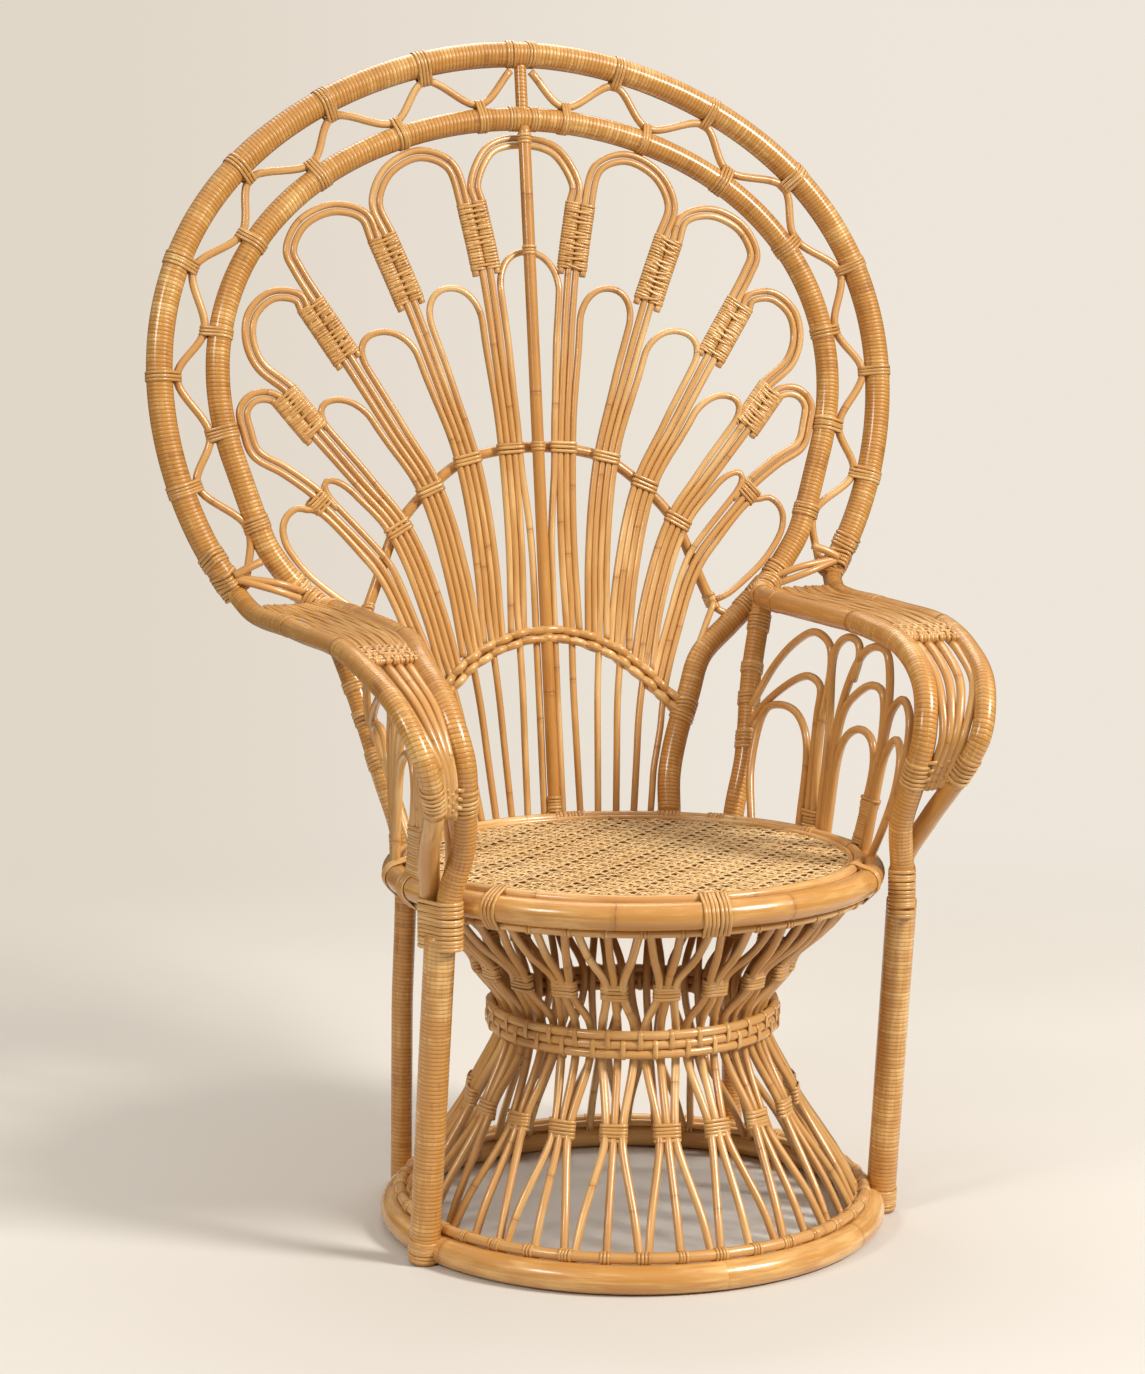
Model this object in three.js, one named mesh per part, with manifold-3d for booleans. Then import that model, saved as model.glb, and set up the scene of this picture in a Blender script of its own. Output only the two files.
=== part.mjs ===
// A peacock chair of rattan, in millimetres: +Z is up and the sitter faces -Y.
// The round seat stands on an hourglass of bent canes. Two wrapped hoops hold a fan of
// hairpin canes, and the two rails over each arm come down into one wrapped front leg.

import * as THREE from 'three';
import { mergeVertices } from 'three/addons/utils/BufferGeometryUtils.js';
import Module from 'manifold-3d';

const wasm = await Module();
wasm.setup();

// Fits and facets
const clearance = 0.3;
const pole_sides = 10;
const hoop_sides = 8;
const cane_sides = 5;
const hourglass_sides = 4;
const thin_ring_sides = 5;
const ring_segments = 40;
const merge_distance = 0.2;
const flatness = 0.05;
const weld_distance = 0.001;
const samples_per_stretch = 14;
const cane_turn_angle = 17;
const pole_turn_angle = 13;
const petal_turn_angle = 18;
const half_turn_angle = 180;

// Base and hourglass
const base_radius = 290.7;
const base_pole = 17;
const tie_ring_pole = 6.5;
const tie_ring_inset = 8;
const cluster_count = 20;
const cluster_canes = [-1, 0, 1];
const hourglass_cane = 5;
const foot_slope_angle = 30.6;
const lower_tie_radius = 197.7;
const lower_tie_height = 159;
const waist_radius = 172;
const waist_height = 256;
const waist_row = 5.5;
const waist_row_count = 3;
const waist_spread_share = 0.37;
const upper_tie_radius = 192;
const upper_tie_height = 324;
const tie_length = 22;
const tie_wall = 2.6;
const vee_press = 0.4;
const shoulder_slope_angle = 39.5;

// Seat
const rim_radius = 286;
const rim_height = 431;
const rim_pole = 15.5;
const under_ring_pole = 5;
const under_ring_inset = 5;
const top_ring_pole = 6;
const brace_pole = 8;
const brace_spacing = 180;
const panel_thickness = 3;
const panel_gap_pitch = 66;
const panel_gap = 42;
const panel_border = 14;

// Legs
const front_leg_pole = 18;
const front_leg_angle = 63;
const front_foot_angle = 73;
const front_foot_notch = 20.7;
const front_leg_height = 401;
const collar_length = 56;
const collar_wall = 2.4;
const collar_lap = 16;
const foot_trim = 4;
const rear_post_pole = 13.5;
const rear_post_angle = 135;

// Back: hoops, post and arcs
const recline_angle = 7.7;
const back_setback = 4;
const foot_bend_height = 300;
const hoop_centre_height = 522.9;
const outer_hoop_radius = 451.9;
const outer_hoop_pole = 16.5;
const outer_hoop_end_rise = 27;
const inner_hoop_radius = 396.3;
const inner_hoop_pole = 15;
const inner_hoop_turn_angle = 100;
const hoop_foot_setback = 4;
const post_pole = 8.75;
const hoop_step_angle = 13;
const wave_pole = 5;
const wave_count = 14;
const fan_cane = 4.4;
const mid_arc_pole = 6.75;
const mid_arc_tie = 15;
const arc_tie_canes = 3;
const arc_probe = 0.1;
const low_arc_row = 10;
const low_arc_depth = 7.6;
const wrap_wall = 2.2;
const wrap_length = 75;

// Arms
const arm_height = 722;
const arm_length = 520;
const arm_back = 306;
const inner_rail_pole = 14.25;
const inner_rail_span = 282;
const outer_rail_pole = 12.5;
const rail_gap = 106;
const rail_start_rise = 2;
const post_top_row = 0.32;
const post_top_drop = 11;
const slat_pole = 6;
const slat_count = 3;
const arm_band_wall = 2.2;
const arm_panel_thickness = 5;
const arm_panel_drop = 10;
const arm_fan_cane = 4.4;
const arm_fan_tie = 70;
const arm_fan_turn_angle = 24;
const arm_side_back_angle = 131;
const arm_side_front_angle = 58;
const arm_side_first_row = 0.25;
const arm_side_last_row = 7.5;
const arm_side_inset = 12;
const arm_side_bend = 0.75;

// Hoop outlines: mean radius times these cosine terms, the angle counted from the top
const outer_hoop_form_share = [1, 0.1137, -0.1013, 0.0221, -0.0208, 0.0122];
const inner_hoop_form_share = [1, 0.0235, -0.0396, -0.0338, 0.0038, 0.005];

// Lower legs of the inner hoop: [across in hoop radii, up in fan heights]
const hoop_leg_share = [
  [0.95, 0.433],
  [0.918, 0.396],
  [0.868, 0.362],
  [0.808, 0.33],
  [0.735, 0.299],
  [0.64, 0.264],
  [0.532, 0.221],
  [0.477, 0.166],
  [0.424, 0.111],
  [0.386, 0.055],
  [0.371, 0],
];

// Lines that the bundles of fan canes follow, from the splint wrap down to the seat
const bundle_share = [
  [
    [0.188, 0.878], [0.148, 0.783], [0.119, 0.664], [0.091, 0.528],
    [0.08, 0.388], [0.086, 0.256], [0.091, 0],
  ],
  [
    [0.495, 0.829], [0.41, 0.736], [0.323, 0.626], [0.24, 0.513],
    [0.197, 0.388], [0.179, 0.243], [0.149, 0],
  ],
  [
    [0.741, 0.734], [0.628, 0.657], [0.492, 0.559], [0.371, 0.472],
    [0.298, 0.36], [0.252, 0.226], [0.207, 0],
  ],
  [
    [0.842, 0.608], [0.741, 0.553], [0.606, 0.483], [0.483, 0.417],
    [0.394, 0.321], [0.328, 0.199], [0.262, 0],
  ],
  [
    [0.777, 0.465], [0.664, 0.415], [0.545, 0.354], [0.454, 0.26],
    [0.386, 0.172], [0.348, 0.089], [0.313, 0],
  ],
];
const bundle_arc_row = 3;
const bundle_row_share = [1, 1.6, 2.2, 2.75, 3.5, 4.2, 4.9, 6];
const wrap_row_share = [0, 1];
const pair_pitches = 1.05;
const wrap_share = [[0, 0.95], [0, 0.95], [0, 0.95], [0, 0.95], [0.1, 0.5]];
const wrap_end = 1;
const bundle_open_row = 1.6;
const bundle_closed_row = 2.75;
const low_end_row = 4.9;
const seat_row = 6;
const head_steps = 6;
const petal_play = 4;
const petal_pass = 11;
const small_leg_slot = 1.65;
const row_play = 0.05;

// Heads of the large petals, from the middle outwards, each from its inner wrap to its outer
const large_petal_share = [
  [[-0.176, 0.905], [-0.111, 0.957], [0, 0.977], [0.111, 0.957], [0.176, 0.905]],
  [[0.256, 0.932], [0.357, 0.947], [0.466, 0.922], [0.51, 0.877]],
  [[0.553, 0.859], [0.653, 0.869], [0.758, 0.847], [0.801, 0.808], [0.777, 0.782]],
  [[0.78, 0.743], [0.86, 0.747], [0.93, 0.722], [0.945, 0.686], [0.915, 0.65]],
  [[0.905, 0.607], [0.947, 0.599], [0.973, 0.579], [0.984, 0.543], [0.963, 0.514], [0.907, 0.488]],
];
// Small petals: where each side leaves its bundle [row, slots from the line], and the top
const small_petal_share = [
  { inner: [1.6, -1.65], top: [0, 0.797], outer: [1.6, 1.65] },
  { inner: [1.6, -1.65], top: [0.273, 0.753], outer: [1.6, 1.65] },
  { inner: [1.6, -1.65], top: [0.479, 0.692], outer: [1.6, 1.65] },
  { inner: [1.6, -1.65], top: [0.628, 0.595], outer: [1.6, 1.65] },
  { inner: [2.1, -1.5], top: [0.667, 0.482], outer: [0.9, 3.1] },
];
const last_petal_share = [
  [0.784, 0.447],
  [0.815, 0.449],
  [0.85, 0.438],
  [0.864, 0.422],
  [0.858, 0.402],
  [0.835, 0.383],
  [0.786, 0.356],
  [0.709, 0.327],
  [0.609, 0.307],
];
const last_petal_row = 0.35;
const post_flank_share = [[0.057, 0.5], [0.036, 0.4], [0.034, 0.26], [0.034, 0]];

// Arcs across the fan, from the middle outwards
const mid_arc_share = [
  [0, 0.53], [0.091, 0.528], [0.24, 0.513], [0.371, 0.472], [0.483, 0.417],
  [0.545, 0.354], [0.575, 0.317], [0.62, 0.27],
];
const low_arc_share = [
  [0, 0.26], [0.088, 0.256], [0.179, 0.243], [0.252, 0.226], [0.328, 0.199],
  [0.389, 0.172], [0.46, 0.14],
];

// Rails of the arms: [across in rail spans, forward in arm lengths, up in arm rises]
const inner_rail_share = [
  [1.007, 0.108, 1],
  [0.996, 0.3, 0.997],
  [1, 0.492, 0.994],
  [1.021, 0.675, 0.981],
  [1.053, 0.829, 0.928],
  [1.032, 0.954, 0.807],
  [0.993, 0.998, 0.636],
  [0.972, 0.969, 0.464],
  [0.957, 0.929, 0.308],
];
const outer_rail_share = [
  [1.026, 0.029, 1.019],
  [1.013, 0.127, 1],
  [1, 0.3, 1],
  [0.995, 0.473, 0.997],
  [0.974, 0.704, 0.988],
  [0.948, 0.867, 0.931],
  [0.91, 1.012, 0.822],
  [0.861, 1.069, 0.651],
  [0.82, 1.027, 0.495],
  [0.794, 0.927, 0.321],
];

// Middle of a rear post: [across and back in arm reaches, up from rim to arm]
const rear_post_share = [
  [0.801, 0.768, 0.306],
  [0.876, 0.882, 0.649],
];

// Rows of the rail tables between which the slats, the woven top and the band lie
const slat_row_share = [3.5, 4.2, 5, 6, 7, 8];
const panel_row_share = [0.4, 1.4, 2.6, 3.7];
const arm_band_row_share = [7.5, 8];

// Side canes under the arm: [forward along the arm, up from the seat rim to the rail]
const arm_fan_share = [
  [
    [0, 0.52], [0.14, 0.755], [0.24, 0.91], [0.32, 0.975], [0.375, 0.93],
    [0.385, 0.84], [0.35, 0.49], [0.33, -0.03],
  ],
  [
    [0, 0.43], [0.08, 0.545], [0.24, 0.72], [0.305, 0.75], [0.345, 0.71],
    [0.335, 0.57], [0.32, 0.33], [0.3, -0.03],
  ],
  [
    [0.055, -0.03], [0.035, 0.265], [0.095, 0.525], [0.175, 0.575], [0.25, 0.545],
    [0.29, 0.425], [0.26, -0.03],
  ],
  [
    [0.36, -0.03], [0.39, 0.525], [0.395, 0.9], [0.44, 0.99], [0.48, 0.98],
    [0.49, 0.925], [0.475, 0.79],
  ],
  [
    [0.385, -0.03], [0.425, 0.56], [0.495, 0.915], [0.545, 0.995], [0.585, 0.99],
    [0.63, 0.76], [0.645, 0.285], [0.68, -0.03],
  ],
  [
    [0.39, -0.03], [0.445, 0.605], [0.495, 0.73], [0.555, 0.805], [0.595, 0.795],
    [0.63, 0.61], [0.645, -0.03],
  ],
  [
    [0.41, -0.03], [0.455, 0.465], [0.525, 0.565], [0.585, 0.545], [0.62, 0.44],
    [0.615, -0.03],
  ],
  [
    [0.715, -0.03], [0.65, 0.525], [0.65, 0.74], [0.69, 0.845], [0.74, 0.825],
    [0.8, 0.7], [0.86, 0.53],
  ],
  [
    [0.75, -0.03], [0.675, 0.53], [0.715, 0.645], [0.765, 0.615], [0.83, 0.47],
  ],
];
const arm_bundle_share = [
  { from: 0.24, to: 0.43, up: 0.15 },
  { from: 0.59, to: 0.77, up: 0.15 },
];

// Places worked out from the sizes above
const degree = Math.PI / half_turn_angle;
const base_height = base_pole * Math.cos(Math.PI / pole_sides);
const tie_ring_radius = base_radius - tie_ring_inset;
const tie_ring_height = base_height + beside(base_pole + tie_ring_pole + clearance, tie_ring_inset);
const under_ring_radius = rim_radius - under_ring_inset;
const under_ring_height = rim_height - beside(rim_pole + under_ring_pole + clearance, under_ring_inset);
const back_foot_radius = rim_radius + back_setback;
const post_setback = fan_cane - post_pole;
const top_ring_radius = back_foot_radius + post_setback - post_pole - clearance - top_ring_pole;
const top_ring_drop = rim_radius - top_ring_radius;
const top_ring_height = rim_height + beside(rim_pole + top_ring_pole + clearance, top_ring_drop);
const panel_level = top_ring_height - top_ring_pole;
const seat_level = rim_height + rim_pole;
const fan_height = hoop_centre_height + hoop_reach(inner_hoop_radius, inner_hoop_form_share, 0);
const fan_pitch = 2 * fan_cane + 3 * clearance;
const arc_setback = fan_cane + mid_arc_pole + clearance;
const arc_tie_depth = 2 * fan_cane + clearance + 2 * mid_arc_pole;
const outer_rail_span = inner_rail_span + rail_gap;
const outer_hoop_foot = arm_height + outer_hoop_end_rise;
const outer_hoop_end_angle = angleAtHeight(outer_hoop_radius, outer_hoop_form_share, outer_hoop_foot);
const petal_inset = inner_hoop_pole + fan_pitch / 2 + fan_cane + clearance + petal_play;
const arm_rise = arm_height - front_leg_height;
const front_foot_radius = base_radius + base_pole + front_leg_pole - front_foot_notch;
const end_gap = clearance + merge_distance;
const leg_top_radius = rim_radius + rim_pole + front_leg_pole + collar_wall + clearance;
const collar_half_width = inner_rail_pole + outer_rail_pole + clearance + collar_wall;
const inner_rail_offset = collar_wall - collar_half_width + inner_rail_pole;
const outer_rail_offset = collar_half_width - collar_wall - outer_rail_pole;
const waist_reach = waist_row_count * waist_row;

function beside(reach, offset) {
  return Math.sqrt(reach * reach - offset * offset);
}

function polar(radius, azimuth, height) {
  const angle = azimuth * degree;
  return new THREE.Vector3(radius * Math.sin(angle), -radius * Math.cos(angle), height);
}

function mixed(a, b, share) {
  return a + (b - a) * share;
}

function eased(share) {
  const t = Math.min(Math.max(share, 0), 1);
  return t * t * (3 - 2 * t);
}

// A path of straight runs that an extrusion follows through given stations. The section
// starts square to a facing direction, is carried on without a twist and is mitred at each
// bend, so that every side of the extruded pole is flat.
class CanePath extends THREE.Curve {
  constructor(stations, facing) {
    super();
    this.stations = stations;
    this.facing = facing;
  }

  getPoint(t, target = new THREE.Vector3()) {
    const place = t * (this.stations.length - 1);
    const index = Math.min(Math.floor(place), this.stations.length - 2);
    return target.lerpVectors(this.stations[index], this.stations[index + 1], place - index);
  }

  getSpacedPoints() {
    return this.stations;
  }

  computeFrenetFrames() {
    const runs = this.stations.slice(1).map((point, index) => {
      return point.clone().sub(this.stations[index]).normalize();
    });
    const facing = this.facing(this.stations[0]);
    const normal = facing.clone().addScaledVector(runs[0], -facing.dot(runs[0])).normalize();
    const frames = { tangents: [], normals: [], binormals: [] };
    this.stations.forEach((_, index) => {
      const before = runs[Math.max(index - 1, 0)];
      const after = runs[Math.min(index, runs.length - 1)];
      const mitre = before.clone().add(after);
      const onMitre = (vector) => {
        return vector.clone().addScaledVector(before, -vector.dot(mitre) / before.dot(mitre));
      };
      frames.tangents.push(mitre.clone().normalize());
      frames.normals.push(onMitre(normal));
      frames.binormals.push(onMitre(before.clone().cross(normal)));
      normal.applyQuaternion(new THREE.Quaternion().setFromUnitVectors(before, after));
    });
    return frames;
  }
}

// Stations of a smooth curve, close together only where it bends
function stationsOf(points, turn) {
  const curve = new THREE.CatmullRomCurve3(points, false, 'centripetal');
  const fine = curve.getSpacedPoints(points.length * samples_per_stretch);
  const stations = [fine[0]];
  let heading = fine[1].clone().sub(fine[0]).normalize();
  for (let index = 1; index < fine.length - 2; index += 1) {
    const next = fine[index + 1].clone().sub(fine[index]).normalize();
    if (heading.angleTo(next) > turn * degree) {
      stations.push(fine[index]);
      heading = next;
    }
  }
  stations.push(fine[fine.length - 1]);
  return stations;
}

function circlePoints(radius, sides) {
  return Array.from({ length: sides }, (_, index) => {
    const angle = (2 * Math.PI * index) / sides;
    return new THREE.Vector2(radius * Math.cos(angle), radius * Math.sin(angle));
  });
}

function roundSection(radius, sides) {
  return new THREE.Shape(circlePoints(radius, sides));
}

// Two canes side by side: the first axis is the depth, the second lies along the pair
function pairSection(radius, pitch) {
  const half = pitch / 2;
  const points = [
    [0, half + radius],
    [-radius, half],
    [-radius, -half],
    [0, -half - radius],
    [radius, -half],
    [radius, half],
  ];
  return new THREE.Shape(points.map(([x, y]) => new THREE.Vector2(x, y)));
}

// A flat loop of wrapped splint, seen end on
function wrapSection(half_depth, half_width) {
  const points = [
    [half_depth, half_width],
    [-half_depth, half_width],
    [-half_depth, -half_width],
    [half_depth, -half_width],
  ];
  return new THREE.Shape(points.map(([x, y]) => new THREE.Vector2(x, y)));
}

function solidOf(geometry) {
  const bare = geometry.clone();
  bare.deleteAttribute('normal');
  bare.deleteAttribute('uv');
  const merged = mergeVertices(bare, weld_distance);
  const mesh = new wasm.Mesh({
    numProp: 3,
    vertProperties: new Float32Array(merged.attributes.position.array),
    triVerts: new Uint32Array(merged.index.array),
  });
  return new wasm.Manifold(mesh);
}

function geometryOf(solid) {
  const mesh = solid.getMesh();
  const geometry = new THREE.BufferGeometry();
  geometry.setAttribute('position', new THREE.BufferAttribute(mesh.vertProperties, 3));
  geometry.setIndex(new THREE.BufferAttribute(mesh.triVerts, 1));
  geometry.computeVertexNormals();
  return geometry;
}

function sweep(stations, shape, facing) {
  const extrudePath = new CanePath(stations, facing);
  const steps = stations.length - 1;
  return solidOf(new THREE.ExtrudeGeometry(shape, { extrudePath, steps, bevelEnabled: false }));
}

function cane(points, radius, facing) {
  return sweep(stationsOf(points, cane_turn_angle), roundSection(radius, cane_sides), facing);
}

function pole(points, radius, facing) {
  return sweep(stationsOf(points, pole_turn_angle), roundSection(radius, hoop_sides), facing);
}

function lathed(points) {
  const profile = points.map(([x, y]) => new THREE.Vector2(x, y));
  profile.push(profile[0].clone());
  const geometry = new THREE.LatheGeometry(profile, ring_segments);
  geometry.rotateX(Math.PI / 2);
  return solidOf(geometry);
}

function ringPole(ring_radius, height, pole_radius, sides) {
  const points = [];
  for (let index = 0; index < sides; index += 1) {
    const angle = (2 * Math.PI * index) / sides;
    points.push([ring_radius + pole_radius * Math.cos(angle), height + pole_radius * Math.sin(angle)]);
  }
  return lathed(points);
}

function joined(solids) {
  return solids.reduce((whole, solid) => whole.add(solid));
}

function cutBy(solid, tools) {
  return tools.reduce((rest, tool) => rest.subtract(tool), solid);
}

// What is left of a pole once its neighbours are cut away, without the chips past its ends
function fitted(solid, tools) {
  const parts = cutBy(solid, tools).decompose();
  return parts.reduce((most, part) => (part.volume() > most.volume() ? part : most));
}

function mirrored(solid) {
  return solid.mirror([1, 0, 0]);
}

const fromAxis = (point) => new THREE.Vector3(point.x, point.y, 0).normalize();
const toSide = () => new THREE.Vector3(1, 0, 0);
const toBack = () => new THREE.Vector3(0, 1, 0).applyAxisAngle(new THREE.Vector3(1, 0, 0), -recline_angle * degree);

// Base rings and the waist band
function baseRing(extra = 0) {
  return ringPole(base_radius, base_height, base_pole + extra, pole_sides);
}

function seatRim(extra = 0) {
  return ringPole(rim_radius, rim_height, rim_pole + extra, pole_sides);
}

function baseTieRing(extra = 0) {
  return ringPole(tie_ring_radius, tie_ring_height, tie_ring_pole + extra, thin_ring_sides);
}

function seatUnderRing() {
  return ringPole(under_ring_radius, under_ring_height, under_ring_pole, thin_ring_sides);
}

function seatTopRing(extra = 0) {
  return ringPole(top_ring_radius, top_ring_height, top_ring_pole + extra, thin_ring_sides);
}

function waistBand() {
  const inner = waist_radius - waist_row;
  const bottom = waist_height - waist_reach;
  const points = [[inner, bottom]];
  for (let row = 0; row < waist_row_count; row += 1) {
    const middle = bottom + (2 * row + 1) * waist_row;
    points.push([waist_radius + waist_row, middle]);
    points.push([waist_radius, middle + waist_row]);
  }
  points.push([inner, waist_height + waist_reach]);
  return lathed(points);
}

// Hourglass clusters: three canes squeezed by a wrapped tie below and above the waist
function besideRing(ring_radius, ring_height, distance, slope) {
  const radius = ring_radius - distance * Math.cos(slope * degree);
  return [radius, ring_height - distance * Math.sin(slope * degree)];
}

const cane_by_tie_ring = besideRing(
  tie_ring_radius,
  tie_ring_height,
  tie_ring_pole + hourglass_cane + clearance,
  foot_slope_angle,
);
const cane_by_under_ring = besideRing(
  under_ring_radius,
  under_ring_height,
  under_ring_pole + hourglass_cane + clearance,
  -shoulder_slope_angle,
);
const waist_facet = Math.cos(Math.PI / ring_segments);
const waist_cane_radius = (waist_radius - waist_row) * waist_facet - hourglass_cane - end_gap;

// How far a cane runs on from a place before its end meets a ring's pole
function endRun([radius, height], slope, ring_radius, ring_height, reach) {
  const out = ring_radius - radius;
  const rise = Math.abs(ring_height - height);
  const along = out * Math.sin(slope * degree) + rise * Math.cos(slope * degree);
  const aside = Math.abs(out * Math.cos(slope * degree) - rise * Math.sin(slope * degree));
  return along - beside(reach, Math.max(0, aside - hourglass_cane));
}

const foot_run = endRun(cane_by_tie_ring, foot_slope_angle, base_radius, base_height, base_pole + end_gap);
const shoulder_run = endRun(
  cane_by_under_ring,
  shoulder_slope_angle,
  rim_radius,
  rim_height,
  rim_pole + end_gap,
);

// One bent cane of a cluster: side is -1, 0 or 1. Where press is set, its ends touch the
// next cluster's cane in the V at the base and below the seat.
function hourglassCane(azimuth, side, press) {
  const half = hourglass_cane + clearance / 2;
  const cluster_step = 360 / cluster_count;
  const end_half = press ? half - vee_press : half;
  const squeezed = (radius) => azimuth + (side * 2 * half) / radius / degree;
  const spread = (radius) => azimuth + side * (cluster_step / 2 - end_half / radius / degree);
  const at_waist = azimuth + side * waist_spread_share * cluster_step;
  const [foot_radius, foot_height] = cane_by_tie_ring;
  const [top_radius, top_height] = cane_by_under_ring;
  const lean = (slope, run) => [run * Math.sin(slope * degree), run * Math.cos(slope * degree)];
  const [foot_out, foot_drop] = lean(foot_slope_angle, foot_run);
  const [top_out, top_rise] = lean(shoulder_slope_angle, shoulder_run);
  const stations = [
    polar(foot_radius + foot_out, spread(foot_radius), foot_height - foot_drop),
    polar(lower_tie_radius, squeezed(lower_tie_radius), lower_tie_height),
    polar(waist_cane_radius, at_waist, waist_height - waist_reach - clearance),
    polar(waist_cane_radius, at_waist, waist_height + waist_reach + clearance),
    polar(upper_tie_radius, squeezed(upper_tie_radius), upper_tie_height),
    polar(top_radius + top_out, spread(top_radius), top_height + top_rise),
  ];
  return sweep(stations, roundSection(hourglass_cane, hourglass_sides), fromAxis);
}

const lower_tie_slope = slopeBetween(cane_by_tie_ring, [waist_cane_radius, waist_height]);
const upper_tie_slope = slopeBetween([waist_cane_radius, waist_height], cane_by_under_ring);

function slopeBetween([low_radius, low_height], [high_radius, high_height]) {
  return Math.atan2(high_radius - low_radius, high_height - low_height) / degree;
}

function clusterTie(azimuth, radius, height, slope) {
  const lean = slope * degree;
  const reach = tie_length / 2;
  const half_width = cluster_canes.length * hourglass_cane + clearance + tie_wall;
  const stations = [-reach, reach].map((along) =>
    polar(radius + along * Math.sin(lean), azimuth, height + along * Math.cos(lean)),
  );
  return sweep(stations, wrapSection(hourglass_cane + tie_wall, half_width), fromAxis);
}

function cluster(azimuth, pressed_side) {
  const canes = cluster_canes.map((side) => hourglassCane(azimuth, side, side === pressed_side));
  const ties = [
    clusterTie(azimuth, lower_tie_radius, lower_tie_height, lower_tie_slope),
    clusterTie(azimuth, upper_tie_radius, upper_tie_height, upper_tie_slope),
  ];
  return joined([...canes, ...ties]);
}

function clusterPair(azimuth) {
  const step = 360 / cluster_count;
  return joined([cluster(azimuth - step / 2, 1), cluster(azimuth + step / 2, -1)]).simplify(merge_distance);
}

// Seat: two braces under a pierced panel
function seatBrace(side) {
  const height = panel_level - clearance - brace_pole;
  const reach = beside(rim_radius, brace_spacing / 2);
  const ends = [-reach, reach].map((x) => new THREE.Vector3(x, (side * brace_spacing) / 2, height));
  const facing = () => new THREE.Vector3(0, 0, 1);
  const brace = sweep(ends, roundSection(brace_pole, pole_sides), facing);
  return cutBy(brace, [seatRim(clearance)]);
}

function seatPanel() {
  const radius = top_ring_radius - top_ring_pole - clearance;
  const outline = new THREE.Shape(circlePoints(radius, ring_segments));
  const sheet = { depth: panel_thickness, steps: 1, bevelEnabled: false };
  const panel = new THREE.ExtrudeGeometry(outline, sheet);
  panel.translate(0, 0, panel_level);
  const reach = radius - panel_border - panel_gap / 2;
  const rows = Math.floor(reach / panel_gap_pitch);
  const gaps = [];
  for (let row = -rows; row <= rows; row += 1) {
    for (let column = -rows; column <= rows; column += 1) {
      const x = column * panel_gap_pitch;
      const y = row * panel_gap_pitch;
      if (Math.hypot(x, y) <= reach) {
        const gap = new THREE.BoxGeometry(panel_gap, panel_gap, 2 * panel_thickness);
        gap.translate(x, y, panel_level + panel_thickness / 2);
        gaps.push(solidOf(gap));
      }
    }
  }
  return cutBy(solidOf(panel), [joined(gaps)]);
}

// The back leans, and near the seat it bends forward onto the round rim
function onBack(across, up, behind = 0) {
  const lean = recline_angle * degree;
  const foot = Math.max(0, 1 - up / foot_bend_height);
  const within = Math.min(Math.abs(across), back_foot_radius);
  const bend = (back_foot_radius - beside(back_foot_radius, within)) * foot * foot;
  const depth = back_foot_radius - bend + up * Math.sin(lean) + behind * Math.cos(lean);
  return new THREE.Vector3(across, depth, seat_level + up * Math.cos(lean) - behind * Math.sin(lean));
}

function onFan([across_share, up_share], behind = 0) {
  return onBack(across_share * inner_hoop_radius, up_share * fan_height, behind);
}

function hoop_reach(radius, form_share, angle) {
  return form_share.reduce((sum, share, order) => sum + radius * share * Math.cos(order * angle), 0);
}

// A point beside a hoop: the angle is counted from the top, the offset points outwards
function besideHoop(radius, form_share, azimuth, offset = 0) {
  const at = (angle) => {
    const reach = hoop_reach(radius, form_share, angle);
    return new THREE.Vector2(reach * Math.sin(angle), hoop_centre_height + reach * Math.cos(angle));
  };
  const angle = azimuth * degree;
  const ahead = at(angle + degree).sub(at(angle - degree)).normalize();
  return at(angle).add(new THREE.Vector2(-ahead.y, ahead.x).multiplyScalar(offset));
}

// How far round from its top a hoop comes down to a height
function angleAtHeight(radius, form_share, height) {
  let [above, below] = [0, half_turn_angle];
  while (below - above > flatness) {
    const middle = (above + below) / 2;
    const place = besideHoop(radius, form_share, middle);
    [above, below] = onBack(place.x, place.y).z > height ? [middle, below] : [above, middle];
  }
  return above;
}

// Places along one side of a hoop, from the top down
function hoopLine(radius, form_share, end) {
  const count = Math.round(end / hoop_step_angle);
  return Array.from({ length: count + 1 }, (_, index) => {
    return besideHoop(radius, form_share, (end * index) / count);
  });
}

function outerHoopPoints() {
  const line = hoopLine(outer_hoop_radius, outer_hoop_form_share, outer_hoop_end_angle);
  return line.map(({ x, y }) => onBack(x, y));
}

function innerHoopLine() {
  const round = hoopLine(inner_hoop_radius, inner_hoop_form_share, inner_hoop_turn_angle);
  const leg = hoop_leg_share.map(([across, up]) => {
    return new THREE.Vector2(across * inner_hoop_radius, up * fan_height);
  });
  return [...round, ...leg];
}

function innerHoopPoints() {
  return innerHoopLine().map(({ x, y }) => {
    return onBack(x, y, hoop_foot_setback * Math.max(0, 1 - y / foot_bend_height));
  });
}

// A point beside a line of places, where it crosses a ray from the middle of the hoops
function besideLine(line, azimuth, offset) {
  const turns = line.map(({ x, y }) => Math.atan2(x, y - hoop_centre_height) / degree);
  const next = Math.max(1, turns.findIndex((turn) => turn > azimuth));
  const share = (azimuth - turns[next - 1]) / (turns[next] - turns[next - 1]);
  const ahead = line[next].clone().sub(line[next - 1]).normalize();
  const here = line[next - 1].clone().lerp(line[next], share);
  return here.add(new THREE.Vector2(-ahead.y, ahead.x).multiplyScalar(offset));
}

function bentHoop(right, radius) {
  const left = right.slice(1).map((point) => new THREE.Vector3(-point.x, point.y, point.z));
  return sweep([...left.reverse(), ...right], roundSection(radius, hoop_sides), toBack);
}

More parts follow.
